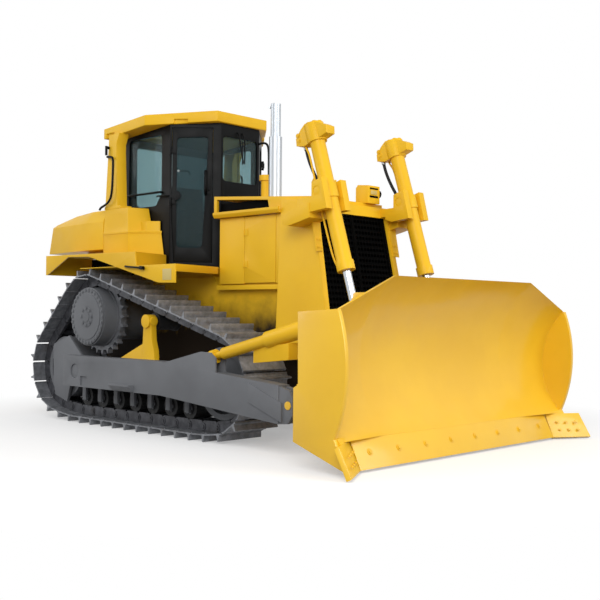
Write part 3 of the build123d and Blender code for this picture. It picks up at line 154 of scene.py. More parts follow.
def blend_colours(tree, factor, first, second):
    """A colour between two by a factor."""
    return add(tree, "ShaderNodeMix", {"Factor": factor, "A": first, "B": second},
               data_type="RGBA").outputs["Result"]


def span(tree, source, low, high, to_low=0.0, to_high=1.0):
    """A value stretched from one range to another, held at its ends."""
    return add(tree, "ShaderNodeMapRange", {"Value": source, "From Min": low, "From Max": high,
                                            "To Min": to_low, "To Max": to_high}).outputs["Result"]


def relief(tree, shader, height, depth_mm):
    """Bump of a real depth on a shader's normal."""
    bump = add(tree, "ShaderNodeBump", {"Height": height, "Strength": 1.0, "Distance": depth_mm * MM})
    feed(shader, {"Normal": bump.outputs["Normal"]})


def sprayed_enamel(name, base, shade, roughness, coat=0.0, gloss=0.5):
    """Two-pack enamel, sprayed: an even colour that clouds a little over a metre, a fine
    orange peel that softens the gloss, and a thin clear reflection."""
    made, tree, shader, place = start_material(name)
    cloud = span(tree, blotch(tree, place, 700, 4.0), 0.35, 0.65)
    rough = span(tree, blotch(tree, place, 160, 4.0), 0.3, 0.7, roughness - 0.04, roughness + 0.06)
    feed(shader, {"Base Color": blend_colours(tree, cloud, base, shade), "Roughness": rough,
                  "Specular IOR Level": gloss, "Coat Weight": coat, "Coat Roughness": 0.12})
    relief(tree, shader, blotch(tree, place, 4, 1.0), 0.05)
    return made


def belly_shaded_enamel(name, base, shade_colour, low, high, roughness):
    """The same enamel low on the hull, darkened towards its belly as painted shade, with a ragged edge and
    not in a line."""
    made, tree, shader, place = start_material(name)
    height = add(tree, "ShaderNodeSeparateXYZ", {0: place}).outputs["Z"]
    # Painted shade: the colour runs from the dark one low down to the enamel above, over a noisy edge
    shade_edge_wobble = span(tree, blotch(tree, place, 240, 5.0), 0.3, 0.7, -0.09, 0.09)
    unshaded = span(tree, calc(tree, "ADD", height, shade_edge_wobble), low, high)
    rough = span(tree, unshaded, 0.0, 1.0, 0.85, roughness)
    feed(shader, {"Base Color": blend_colours(tree, unshaded, shade_colour, base), "Roughness": rough,
                  "Specular IOR Level": 0.18})
    relief(tree, shader, blotch(tree, place, 14, 4.0), 0.2)
    return made


def forged_steel(name, base, worn, rust, roughness, metallic=0.55):
    """Forged and heat treated steel: blue-grey scale, bright where the ground polishes it and
    a little brown in the hollows."""
    made, tree, shader, place = start_material(name)
    scale = span(tree, blotch(tree, place, 60, 6.0), 0.35, 0.7)
    colour = blend_colours(tree, scale, base, worn)
    brown = span(tree, blotch(tree, place, 180, 5.0), 0.58, 0.75, 0.0, 0.55)
    rough = span(tree, blotch(tree, place, 25, 5.0), 0.3, 0.7, roughness - 0.1, roughness + 0.12)
    feed(shader, {"Base Color": blend_colours(tree, brown, colour, rust), "Roughness": rough,
                  "Metallic": metallic})
    relief(tree, shader, blotch(tree, place, 9, 5.0), 0.5)
    return made


def bare_metal(name, base, roughness, grain_mm, depth_mm, metallic=1.0):
    """Polished or drawn bare metal: one colour, with a faint drawn grain."""
    made, tree, shader, place = start_material(name)
    rough = span(tree, blotch(tree, place, 120), 0.3, 0.7, roughness - 0.03, roughness + 0.05)
    feed(shader, {"Roughness": rough, "Base Color": base, "Metallic": metallic})
    relief(tree, shader, blotch(tree, place, grain_mm, 2.0), depth_mm)
    return made


def moulded(name, base, shade, roughness, grain_mm, depth_mm):
    """Moulded plastic, rubber or vinyl: a matt grain pressed into the surface."""
    made, tree, shader, place = start_material(name)
    cloud = span(tree, blotch(tree, place, 90), 0.3, 0.7)
    feed(shader, {"Base Color": blend_colours(tree, cloud, base, shade),
                  "Roughness": roughness, "Specular IOR Level": 0.2})
    relief(tree, shader, blotch(tree, place, grain_mm, 2.0), depth_mm)
    return made


def safety_glass(name, tint, clear):
    """Tinted toughened glass, flat and clear, darkening what is behind it."""
    made, tree, shader, place = start_material(name)
    dust = span(tree, blotch(tree, place, 220), 0.45, 0.8, 0.02, 0.06)
    feed(shader, {"Base Color": srgb(tint), "Roughness": dust, "Transmission Weight": clear,
                  "Specular IOR Level": 0.25, "IOR": 1.10})
    return made


MATERIALS = {}


def make_materials(paint):
    """Every finish of the machine, once. After its colours an enamel or a forging has its
    roughness; bare metal and mouldings have roughness, grain and relief in millimetres."""
    yellow = tuple(paint.yellow) + (1.0,)
    deep = (yellow[0] * 0.93, yellow[1] * 0.90, yellow[2] * 0.85, 1.0)
    grey = tuple(paint.grey) + (1.0,)
    dark = tuple(v * 0.82 for v in grey[:3]) + (1.0,)
    MATERIALS.update({
        "yellow": sprayed_enamel("Enamel_sprayed_yellow", yellow, deep, 0.44, coat=0.04, gloss=0.18),
        "glossy": sprayed_enamel("Enamel_sprayed_glossy", yellow, deep, 0.36, coat=0.35, gloss=0.35),
        # Painted shade: the hull's enamel darkens to #2A2016 towards its belly
        "belly_shaded": belly_shaded_enamel("Enamel_sprayed_soiled", yellow, srgb("#2A2016"),
                                low=1.06, high=1.46, roughness=0.5),
        "grey": sprayed_enamel("Enamel_sprayed_grey", grey, dark, 0.5, gloss=0.25),
        "black": sprayed_enamel("Enamel_satin_black", srgb("#090A0B"), srgb("#060707"), 0.42, gloss=0.10),
        "matt": sprayed_enamel("Enamel_matt_black", srgb("#060606"), srgb("#040404"), 0.7, gloss=0.04),
        "track_steel": forged_steel("Steel_forged_track", srgb("#6E7074"), srgb("#8E9095"),
                                    srgb("#5B5048"), 0.5),
        "link_steel": forged_steel("Steel_forged_link", srgb("#3A3B3F"), srgb("#55565B"),
                                   srgb("#3A332E"), 0.45),
        "dark_steel": forged_steel("Steel_forged_oiled", srgb("#070708"), srgb("#101112"),
                                   srgb("#0C0A09"), 0.7, metallic=0.1),
        "chrome_rod": bare_metal("Chrome_hard_ground", srgb("#C4C9CE"), 0.10, 2.0, 0.01),
        "stack_metal": bare_metal("Steel_aluminised_drawn", srgb("#B3B9BF"), 0.36, 3.0, 0.02, metallic=0.6),
        "pale": sprayed_enamel("Enamel_satin_pale_grey", srgb("#B9C2C3"), srgb("#A9B2B4"), 0.5),
        "plate": sprayed_enamel("Enamel_satin_plate", srgb("#C9B36A"), srgb("#BFA95F"), 0.5),
        "bolt_zinc": bare_metal("Steel_zinc_plated", srgb("#9B9CA0"), 0.35, 1.5, 0.02),
        # The doors' glass is darker than the windows': part of its tint is the glass's own, the rest is
        # painted shade of the cab behind it
        "cab_glass": safety_glass("Glass_toughened_clear", "#A9C0C3", 0.94),
        "door_glass": safety_glass("Glass_toughened_tinted", "#42595E", 0.70),
        "seat_vinyl": moulded("Vinyl_grained_black", srgb("#131416"), srgb("#0E0F10"), 0.6, 2.5, 0.2),
        "cab_plastic": moulded("ABS_moulded_black", srgb("#151618"), srgb("#101113"), 0.55, 1.5, 0.1),
        "hose_rubber": moulded("Rubber_braided_hose", srgb("#141416"), srgb("#1C1C1F"), 0.48, 3.0, 0.15),
        "lamp_lens": moulded("Acrylic_moulded_lens", srgb("#D9DCDD"), srgb("#B9BDBF"), 0.12, 6.0, 0.4),
    })


# ------------------------------------------------------------------ mesh helpers
# Faces that meet at more degrees than these are shaded apart, or rounded where asked
SHARP_DEG = 32.0
EDGE_DEG = 28.0


def sided(name, side):
    """A name with its star, if it has one, filled in by the side."""
    return name.replace("*", "left" if side > 0 else "right")


def linked(name, data):
    """An object of the scene that shows some data."""
    obj = bpy.data.objects.new(name, data)
    bpy.context.scene.collection.objects.link(obj)
    return obj


def piece(name, mesh, body, finish, replaces=()):
    """A finished mesh as a piece of the machine that rides on a body."""
    mesh.name = name
    obj = linked(name, mesh)
    mesh.materials.clear()
    mesh.materials.append(MATERIALS[finish])
    mesh.polygons.foreach_set("material_index", [0] * len(mesh.polygons))
    mesh.polygons.foreach_set("use_smooth", [True] * len(mesh.polygons))
    mesh.set_sharp_from_angle(angle=math.radians(SHARP_DEG))
    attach(obj, body)
    if replaces:
        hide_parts(*replaces)
    return obj


def plain(obj):
    """The evaluated mesh of an object as plain data, in place of the object."""
    graph = bpy.context.evaluated_depsgraph_get()
    mesh = bpy.data.meshes.new_from_object(obj.evaluated_get(graph))
    bpy.data.objects.remove(obj)
    return mesh


def holder(name, verts, edges=()):
    """A bare mesh object that carries points for a node tree."""
    mesh = bpy.data.meshes.new(name)
    mesh.from_pydata([tuple(v) for v in verts], list(edges), [])
    return linked(name, mesh)


def mesh_from(bm, name):
    """A mesh with its faces outward, in place of the bmesh."""
    bmesh.ops.recalc_face_normals(bm, faces=bm.faces)
    mesh = bpy.data.meshes.new(name)
    bm.to_mesh(mesh)
    bm.free()
    return mesh


def add_prism(bm, outline, y0, y1):
    """A side outline (x, z) carried from y0 to y1, added to a mesh."""
    low = [bm.verts.new((x, y0, z)) for x, z in outline]
    high = [bm.verts.new((x, y1, z)) for x, z in outline]
    count = len(outline)
    bm.faces.new(low)
    bm.faces.new(high[::-1])
    for i in range(count):
        j = (i + 1) % count
        bm.faces.new((low[j], low[i], high[i], high[j]))


def add_bar(bm, start, end, radius, sides):
    """A round bar between two points, added to a mesh."""
    a = Vector(start)
    b = Vector(end)
    turn = (b - a).to_track_quat("Z", "Y").to_matrix()
    rings = []
    for point in (a, b):
        rings.append([bm.verts.new(point + turn @ Vector((radius * math.cos(2 * math.pi * i / sides),
                                                          radius * math.sin(2 * math.pi * i / sides), 0)))
                      for i in range(sides)])
    for i in range(sides):
        j = (i + 1) % sides
        bm.faces.new((rings[0][i], rings[0][j], rings[1][j], rings[1][i]))
    bm.faces.new(rings[0][::-1])
    bm.faces.new(rings[1])


def add_box(bm, low, high):
    """A box between two corners, added to a mesh."""
    x0, y0, z0 = low
    x1, y1, z1 = high
    add_prism(bm, [(x0, z0), (x1, z0), (x1, z1), (x0, z1)], y0, y1)


def add_hull(bm, points):
    """The hull round some points, added to a mesh."""
    bmesh.ops.convex_hull(bm, input=[bm.verts.new(point) for point in points])


def bevelled(bm, width):
    """Rounds the sharp edges of a mesh."""
    edges = [e for e in bm.edges
             if len(e.link_faces) == 2 and e.calc_face_angle(0.0) > math.radians(EDGE_DEG)]
    bmesh.ops.bevel(bm, geom=edges, offset=width, offset_type="OFFSET", segments=2, profile=0.6,
                    affect="EDGES", clamp_overlap=True)


def tube(name, points, radius, body, finish):
    """A bent round tube along a smooth line through chosen points."""
    data = bpy.data.curves.new(name, "CURVE")
    data.dimensions = "3D"
    spline = data.splines.new("NURBS")
    spline.points.add(len(points) - 1)
    for point, place in zip(spline.points, points):
        point.co = (*place, 1.0)
    spline.order_u = 3
    spline.use_endpoint_u = True
    data.resolution_u = 6
    data.bevel_depth = radius
    data.bevel_resolution = 4
    data.use_fill_caps = True
    return piece(name, plain(linked(name + "_line", data)), body, finish)


# ------------------------------------------------------------------ painted solids
# Columns: node (a star stands for both sides), finish, rounded edge in millimetres (0 leaves
# the solid as it is)
COATS = (
    ("roller_frames", "grey", 5), ("track_rollers", "dark_steel", 0), ("idlers", "grey", 0),
    ("carrier_posts", "yellow", 6), ("sprockets", "track_steel", 0), ("final_drives", "grey", 4),
    # The main frame's enamel carries painted shade towards its belly
    ("main_frame", "belly_shaded", 6), ("cross_members", "grey", 4), ("engine", "black", 0),
    ("radiator_guard", "yellow", 7), ("grille", "matt", 0), ("radiator", "matt", 0), ("hood", "yellow", 5),
    ("side_panels", "yellow", 3), ("engine_door_*", "yellow", 3), ("exhaust_stack", "stack_metal", 0),
    ("air_intake", "yellow", 0), ("lamp_box", "yellow", 5), ("lamp", "lamp_lens", 0),
    ("cab_shell", "black", 4), ("cab_door_*", "black", 4), ("door_glass_*", "door_glass", 0),
    ("cab_windows", "cab_glass", 0), ("cab_roof", "yellow", 9), ("rops_posts", "yellow", 8),
    ("seat", "seat_vinyl", 20), ("consoles", "cab_plastic", 10), ("fenders", "yellow", 3),
    ("fuel_tank", "yellow", 12), ("side_boxes", "yellow", 6), ("drawbar", "yellow", 4),
    ("lift_mounts", "yellow", 7), ("lift_barrel_*", "yellow", 4), ("lift_rod_*", "chrome_rod", 0),
    ("push_arms", "grey", 5), ("tilt_struts", "yellow", 3), ("moldboard", "glossy", 5),
    ("blade_back", "glossy", 4), ("cutting_edges", "glossy", 4),
)
# Before rounding, points nearer than this in metres are one, and triangles flatter to each
# other than this in degrees are joined; a surface that grows by more shows a closed opening.
SAME_POINT = 2e-5
FLAT_DEG = 0.4
GROWTH = 1.002


def surface(mesh):
    """The area of a mesh as it is drawn."""
    mesh.calc_loop_triangles()
    return sum(triangle.area for triangle in mesh.loop_triangles)


def soft_edged(node, width_mm, finish):
    """A copy of a solid with its edges rounded, in place of the solid. Flat triangles are
    joined in pairs only, because a larger face may wrap round an opening and close it."""
    solid = frame["nodes"][node].data
    bm = bmesh.new()
    bm.from_mesh(solid)
    bmesh.ops.remove_doubles(bm, verts=bm.verts, dist=SAME_POINT)
    bmesh.ops.join_triangles(bm, faces=bm.faces, angle_face_threshold=math.radians(FLAT_DEG),
                             angle_shape_threshold=math.pi)
    bevelled(bm, width_mm * MM)
    mesh = bpy.data.meshes.new(node + "_finish")
    bm.to_mesh(mesh)
    bm.free()
    if surface(mesh) > surface(solid) * GROWTH:
        raise RuntimeError(f"{node}: rounding its edges added surface, so an opening may be closed")
    made = piece(node + "_finish", mesh, body_of(node), finish, replaces=(node,))
    return made


def body_of(node):
    """The body that carries a node."""
    return next(name for name, nodes in frame["record"]["behaviour"]["bodies"].items() if node in nodes)


class BULLDOZER_OT_paint(bpy.types.Operator):
    """Paint the solids and round the edges of the plates"""
    bl_idname = "bulldozer.paint"
    bl_label = "Paint the solids"

    def execute(self, context):
        make_materials(context.scene.bulldozer_paint)
        for name, finish, width in COATS:
            for node in dict.fromkeys((sided(name, 1), sided(name, -1))):
                if width:
                    soft_edged(node, width, finish)
                    continue
                solid = frame["nodes"][node].data
                solid.materials.clear()
                solid.materials.append(MATERIALS[finish])
        return {"FINISHED"}


# ------------------------------------------------------------------ tracks
# In metres: pins to a rail's tread and its clearance, each idler's lift over the ground run,
# the height and reach of the bends at that run's ends from the rollers' lowest point and the
# idlers' axes. The sprocket moves the track by SPROCKET_STEPS pins in half a turn.
RAIL_TREAD = 0.060
TREAD_GAP = 0.0003
REAR_LIFT = 0.050
FRONT_LIFT = 0.010
BEND_HEIGHT = 0.108
BEND_REACH = 0.290
SPROCKET_STEPS = 12
# Each rail of a link, from the middle of the track: its inner and its outer face
RAIL_INNER = 0.090
RAIL_OUTER = 0.128
# A link's inner boss, outer boss and pin end: which end of the link, from, to, radius, sides
LINK_BARS = ((-1, 0.084, 0.116, 0.040, 14), (1, 0.100, 0.134, 0.040, 14), (1, 0.133, 0.141, 0.022, 12))
# Its bushing: half its length, its radius
BUSHING = (0.086, 0.034)


def tangent_angle(c0, r0, c1, r1):
    """Angle of the normal of the outer tangent from circle 0 to circle 1, clockwise."""
    dx = c1[0] - c0[0]
    dz = c1[1] - c0[1]
    return math.atan2(dz, dx) + math.acos((r0 - r1) / math.hypot(dx, dz))


def pin_line(s):
    """Track pins one pitch apart, as the solids' links lie."""
    pin_z = s.seat + s.plate + s.grouser
    idler_lo, idler_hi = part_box("idlers")
    tread = math.sqrt(s.wheel_radius ** 2 - (s.pitch / 2) ** 2) - RAIL_TREAD - TREAD_GAP
    rear = (idler_lo[0] + tread, pin_z + s.wheel_radius + REAR_LIFT)
    front = (idler_hi[0] - tread, pin_z + s.wheel_radius + FRONT_LIFT)
    bend_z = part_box("track_rollers")[0][2] + BEND_HEIGHT
    under = bend_z - pin_z
    circles = [(rear, s.wheel_radius),
               ((DATUM_X, SPROCKET_Z), s.pitch / (2 * math.sin(math.pi / SPROCKET_STEPS))),
               (front, s.wheel_radius),
               ((front[0] - BEND_REACH, bend_z), under),
               ((rear[0] + BEND_REACH, bend_z), under)]
    count = len(circles)
    turns = [tangent_angle(*circles[i], *circles[(i + 1) % count]) for i in range(count)]

    def spot(circle, angle):
        (x, z), r = circle
        return (x + r * math.cos(angle), z + r * math.sin(angle))

    runs = []
    for i in range(count):
        sweep = (turns[i - 1] - turns[i]) % (2 * math.pi)
        runs.append((circles[i], turns[i - 1], circles[i][1] * sweep, None))
        a = spot(circles[i], turns[i])
        b = spot(circles[(i + 1) % count], turns[i])
        runs.append((a, b, math.dist(a, b), "line"))
    points = []
    for index in range(s.shoes):
        left = index * s.pitch
        for a, b, length, kind in runs:
            if left <= length:
                break
            left -= length
        if kind:
            points.append((a[0] + (b[0] - a[0]) * left / length, a[1] + (b[1] - a[1]) * left / length))
        else:
            points.append(spot(a, b - left / a[1]))
    return points


def shoe_unit(s):
    """One shoe: a plate with lipped ends and a grouser worn round on top."""
    bm = bmesh.new()
    h = s.pitch / 2
    z0 = s.seat
    z1 = s.seat + s.plate
    top = z1 + s.grouser
    outline = [(-h - 0.006, z0 + 0.001), (h - 0.016, z0 + 0.001), (h - 0.004, z0 - 0.010),
               (h + 0.002, z0 - 0.006), (h - 0.008, z1), (-h + 0.074, z1), (-h + 0.060, z1 + 0.008),
               (-h + 0.054, top - 0.006), (-h + 0.050, top), (-h + 0.040, top), (-h + 0.037, top - 0.006),
               (-h + 0.028, z1 + 0.008), (-h + 0.014, z1), (-h - 0.002, z1)]
    add_prism(bm, outline, -SHOE_W / 2, SHOE_W / 2)
    return mesh_from(bm, "shoe_unit")


def link_unit(s):
    """One link of both rails: side plates with pin bosses, bushing and pin ends."""
    bm = bmesh.new()
    h = s.pitch / 2
    plate = [(-h, -0.036), (-h + 0.026, -0.060), (h - 0.020, -0.060), (h + 0.012, -0.040),
             (h + 0.036, -0.012), (h + 0.034, 0.016), (h + 0.010, 0.038), (h - 0.024, 0.051),
             (-h + 0.030, 0.051), (-h + 0.006, 0.036), (-h - 0.020, 0.022), (-h - 0.028, -0.004),
             (-h - 0.018, -0.028)]
    for side in (-1, 1):
        add_prism(bm, plate, side * RAIL_INNER, side * RAIL_OUTER)
        for end, start, stop, radius, sides in LINK_BARS:
            add_bar(bm, (end * h, side * start, 0), (end * h, side * stop, 0), radius, sides)
    half, radius = BUSHING
    add_bar(bm, (-h, -half, 0), (-h, half, 0), radius, 16)
    return mesh_from(bm, "link_unit")


def new_tree(name, inputs):
    """A geometry tree with named inputs: (name, socket type, default)."""
    tree = bpy.data.node_groups.new(name, "GeometryNodeTree")
    tree.interface.new_socket(name="Geometry", in_out="OUTPUT", socket_type="NodeSocketGeometry")
    tree.interface.new_socket(name="Geometry", in_out="INPUT", socket_type="NodeSocketGeometry")
    for label, kind, default in inputs:
        socket = tree.interface.new_socket(name=label, in_out="INPUT", socket_type=kind)
        if default is not None:
            socket.default_value = default
    return tree


def end_tree(tree, geometry, material):
    """Realize the copies, set their material and send them out."""
    real = add(tree, "GeometryNodeRealizeInstances", {"Geometry": geometry})
    coat = add(tree, "GeometryNodeSetMaterial", {"Geometry": real.outputs[0], "Material": material})
    add(tree, "NodeGroupOutput", {"Geometry": coat.outputs["Geometry"]})


def direction(tree, name):
    """A direction stored on the points or edges of the mesh."""
    return add(tree, "GeometryNodeInputNamedAttribute", {"Name": name},
               data_type="FLOAT_VECTOR").outputs["Attribute"]


def grow(obj, tree, **inputs):
    """Runs a tree on an object and returns the plain mesh."""
    modifier = obj.modifiers.new("grow", "NODES")
    modifier.node_group = tree
    for item in tree.interface.items_tree:
        key = item.name.replace(" ", "_").lower()
        if item.in_out == "INPUT" and key in inputs:
            modifier[item.identifier] = inputs[key]
    return plain(obj)


def loop_tree():
    """Copies of one unit along the edges of a closed line, each turned along its edge."""
    tree = new_tree("Units along a pin line", (("Unit", "NodeSocketObject", None),
                                               ("Unit scale", "NodeSocketFloat", 1.0),
                                               ("Material", "NodeSocketMaterial", None)))
    source = add(tree, "NodeGroupInput").outputs
    points = add(tree, "GeometryNodeMeshToPoints", {"Mesh": source["Geometry"]}, mode="EDGES")
    turn = add(tree, "FunctionNodeAxesToRotation",
               {"Primary Axis": direction(tree, "along"), "Secondary Axis": (0.0, 1.0, 0.0)},
               primary_axis="X", secondary_axis="Y")
    unit = add(tree, "GeometryNodeObjectInfo", {"Object": source["Unit"]})
    copies = add(tree, "GeometryNodeInstanceOnPoints",
                 {"Points": points.outputs[0], "Instance": unit.outputs["Geometry"],
                  "Rotation": turn.outputs[0], "Scale": source["Unit scale"]})
    end_tree(tree, copies.outputs[0], source["Material"])
    return tree


class BULLDOZER_OT_tracks(bpy.types.Operator):
    """Build both tracks: shoes, links and bushings on the pin line"""
    bl_idname = "bulldozer.tracks"
    bl_label = "Build the tracks"

    def execute(self, context):
        s = context.scene.bulldozer_track
        points = pin_line(s)
        count = len(points)
        tree = loop_tree()
        units = {"shoes": linked("shoe_unit", shoe_unit(s)), "links": linked("link_unit", link_unit(s))}
        for side, name in ((1, "left"), (-1, "right")):
            for kind, finish in (("shoes", "track_steel"), ("links", "link_steel")):
                line = holder(kind + "_line", [(x, side * TRACK_Y, z) for x, z in points],
                              [(i, (i + 1) % count) for i in range(count)])
                along = line.data.attributes.new("along", "FLOAT_VECTOR", "EDGE")
                for edge, item in zip(line.data.edges, along.data):
                    i, j = sorted(edge.vertices)
                    if j - i > 1:
                        i, j = j, i
                    item.vector = (points[j][0] - points[i][0], 0.0, points[j][1] - points[i][1])
                mesh = grow(line, tree, unit=units[kind], material=MATERIALS[finish])
                made = piece(f"track_{kind}_{name}", mesh, "machine", finish, replaces=(f"track_{name}",))
        for unit in units.values():
            bpy.data.objects.remove(unit)
        return {"FINISHED"}


# ------------------------------------------------------------------ fasteners
def bolt_tree():
    """A washer and a hexagon head on every point, turned to face its own way."""
    tree = new_tree("Bolts on points", (("Across", "NodeSocketFloat", 0.022),
                                        ("Material", "NodeSocketMaterial", None)))
    source = add(tree, "NodeGroupInput").outputs

    def disc(radius, depth, sides):
        """A disc sized by the bolt's width across its head."""
        return add(tree, "GeometryNodeMeshCylinder",
                   {"Radius": calc(tree, "MULTIPLY", source["Across"], radius),
                    "Depth": calc(tree, "MULTIPLY", source["Across"], depth),
                    "Vertices": sides}).outputs["Mesh"]

    both = add(tree, "GeometryNodeJoinGeometry")
    for part in (disc(0.56, 0.75, 6), disc(0.9, 0.3, 16)):
        feed(both, {0: part})
    turn = add(tree, "FunctionNodeAlignRotationToVector", {"Vector": direction(tree, "facing")}, axis="Z")
    copies = add(tree, "GeometryNodeInstanceOnPoints",
                 {"Points": source["Geometry"], "Instance": both.outputs[0], "Rotation": turn.outputs[0]})
    end_tree(tree, copies.outputs[0], source["Material"])
    return tree


def bolts(tree, name, body, finish, across, rows):
    """One mesh of bolts on one body: rows are (place, facing)."""
    obj = holder(name, [place for place, facing in rows])
    facing = obj.data.attributes.new("facing", "FLOAT_VECTOR", "POINT")
    for item, (place, way) in zip(facing.data, rows):
        item.vector = way
    return piece(name, grow(obj, tree, across=across, material=MATERIALS[finish]), body, finish)


def circle_rows(x, y, z, radius, count, facing):
    """Bolt places on a circle about the Y axis."""
    return [(at(x + radius * math.cos(2 * math.pi * i / count), y,
                z + radius * math.sin(2 * math.pi * i / count)), facing) for i in range(count)]


def mirrored(rows):
    """Bolt places with those of the other side."""
    return rows + [(Vector((p[0], -p[1], p[2])), Vector((f[0], -f[1], f[2]))) for p, f in rows]


# Places in millimetres, on the left side where there are two.
# The cutting edge's face (x, z), its bolts along it, and the way it faces
EDGE_FACE = (4252, 150)
EDGE_BOLTS = (-1320, -943, -566, -189, 189, 566, 943, 1320)
EDGE_WAY = Vector((0.89, 0, 0.45))
# An end bit's face: its upper inner corner, its run to the outer end and its drop, the way
# it faces, and its columns of bolts as shares of the run
BIT_CORNER = (4253, 1509, 175)
BIT_RUN = (215, 318, 0)
BIT_DROP = (34, 0, -76)
BIT_WAY = Vector((0.68, -0.57, 0.45))
BIT_COLUMNS = (0.25, 0.52, 0.79)
# The strip that fills the joint over an end bit, from its inner end out to the end plate
BIT_SEAT = ((4195, 1570, 290), (4215, 1570, 290), (4195, 1570, 232), (4222, 1570, 232),
            (4240, 1729, 290), (4262, 1729, 290), (4262, 1729, 232), (4318, 1729, 232))
# A final drive's rim and boss, as (face y, bolt circle radius, bolts)
DRIVE_CIRCLES = ((1226, 296, 30), (1236, 96, 8))
# The track rollers: how many, the first one's axis, the run to the last, height, outer face
ROLLERS = 7
ROLLER_FIRST = -116
ROLLER_RUN = 1846
ROLLER_Z = 298
ROLLER_FACE = 1130
# The bolts of a roller's cap, as (out from that face, circle radius, bolts)
ROLLER_CIRCLE = (16, 48, 6)
# The lift brackets' plates on the radiator guard: their thickness, and their rows of bolts
# out from the middle and up
BRACKET_THICK = 14
BRACKET_Y = (560, 600)
BRACKET_Z = (1900, 1975, 2190)
BRACKET_WAY = Vector((0.981, 0, 0.193))
# A lift cylinder's head: its end above the trunnion, its circle of bolts, and its port block
HEAD_END = -700
HEAD_CIRCLE = 74
HEAD_BOLTS = 8
PORT_FRONT = -175
PORT_HALF = 60
PORT_ROWS = (-650, -600)


def roller_x(i):
    """A track roller's axis along the machine."""
    return ROLLER_FIRST + ROLLER_RUN * i / (ROLLERS - 1)


class BULLDOZER_OT_fasteners(bpy.types.Operator):
    """Set the bolts of the edges, drives, rollers, brackets and cylinder heads, and seat the end bits"""
    bl_idname = "bulldozer.fasteners"
    bl_label = "Set the bolts"

    def execute(self, context):
        s = context.scene.bulldozer_bolts
        tree = bolt_tree()
        edge = [(at(EDGE_FACE[0], y, EDGE_FACE[1]), EDGE_WAY) for y in EDGE_BOLTS]
        bolts(tree, "edge_bolts", "blade", "glossy", s.large, edge)
        bits = []
        for share in BIT_COLUMNS:
            for drop in (1, 0):
                place = [c + run * share + down * drop for c, run, down in zip(BIT_CORNER, BIT_RUN, BIT_DROP)]
                bits.append((at(*place), BIT_WAY))
        bolts(tree, "bit_bolts", "blade", "glossy", s.small * 0.8, mirrored(bits))
        seats = bmesh.new()
        for way in (-1, 1):
            add_hull(seats, [at(x, way * y, z) for x, y, z in BIT_SEAT])
        piece("bit_seats", mesh_from(seats, "bit_seats"), "blade", "glossy")
        side = Vector((0, 1, 0))
        rows = []
        for face, radius, count in DRIVE_CIRCLES:
            rows += circle_rows(0, face, SPROCKET_Z / MM, radius, count, side)
        bolts(tree, "drive_bolts", "machine", "grey", s.small * 1.2, mirrored(rows))
        rows = []
        out, radius, count = ROLLER_CIRCLE
        for i in range(ROLLERS):
            rows += circle_rows(roller_x(i), ROLLER_FACE + out, ROLLER_Z, radius, count, side)
        bolts(tree, "roller_bolts", "machine", "link_steel", s.small * 0.8, mirrored(rows))
        plates = [(at(guard_x(z) + BRACKET_THICK, y, z), BRACKET_WAY)
                  for y in BRACKET_Y for z in BRACKET_Z]
        bolts(tree, "bracket_bolts", "machine", "yellow", s.small, mirrored(plates))
        for name, way in (("left", 1), ("right", -1)):
            up = (on_cylinder(way, HEAD_END, 0, 0) - on_cylinder(way, 0, 0, 0)).normalized()
            rows = []
            for i in range(HEAD_BOLTS):
                angle = 2 * math.pi * i / HEAD_BOLTS
                rows.append((on_cylinder(way, HEAD_END, HEAD_CIRCLE * math.cos(angle),
                                         HEAD_CIRCLE * math.sin(angle)), up))
            rows += [(on_cylinder(way, down, PORT_FRONT, PORT_HALF * out), Vector((0, way * out, 0)))
                     for down in PORT_ROWS for out in (-1, 1)]
            bolts(tree, f"cylinder_bolts_{name}", f"lift_barrel_{name}", "yellow", s.small * 1.2, rows)
        return {"FINISHED"}


# ------------------------------------------------------------------ rails, handles, hoses and covers
# In millimetres: a cab door's hinge corner (x, y) and its run from there, the lift
# cylinders' trunnion and their lean, the fuel tank's top and the lamp box's face
DOOR_CORNER = (807.0, 700.0)
DOOR_WAY = (0.690, 0.7236)
LIFT_PIVOT = (3130.0, 612.0, 2411.0)
LIFT_LEAN = math.radians(17.1)
TANK_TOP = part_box("fuel_tank")[1][2] / MM
LAMP_FACE = (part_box("lamp_box")[1][0] - DATUM_X) / MM


def on_machine(side, x, y, z):
    """A place on the machine's left (side 1) or right (side -1)."""
    return at(x, side * y, z)


def on_door(side, along, out, z):
    """A place along a cab door from its hinge corner, and out from its face."""
    return at(DOOR_CORNER[0] + along * DOOR_WAY[0] + out * DOOR_WAY[1],
              side * (DOOR_CORNER[1] - along * DOOR_WAY[1] + out * DOOR_WAY[0]), z)


def on_cylinder(side, down, front, across):
    """A place along a lift cylinder from its trunnion, in front of and across its line."""
    c = math.cos(LIFT_LEAN)
    k = math.sin(LIFT_LEAN)
    return at(LIFT_PIVOT[0] + down * k + front * c, side * (LIFT_PIVOT[1] + across),
              LIFT_PIVOT[2] - down * c + front * k)


# The frame of each body's places; a star takes the side's name
FRAMES = {"machine": on_machine, "blade": on_machine, "cab_door_*": on_door, "lift_barrel_*": on_cylinder}

BOTH = (1, -1)

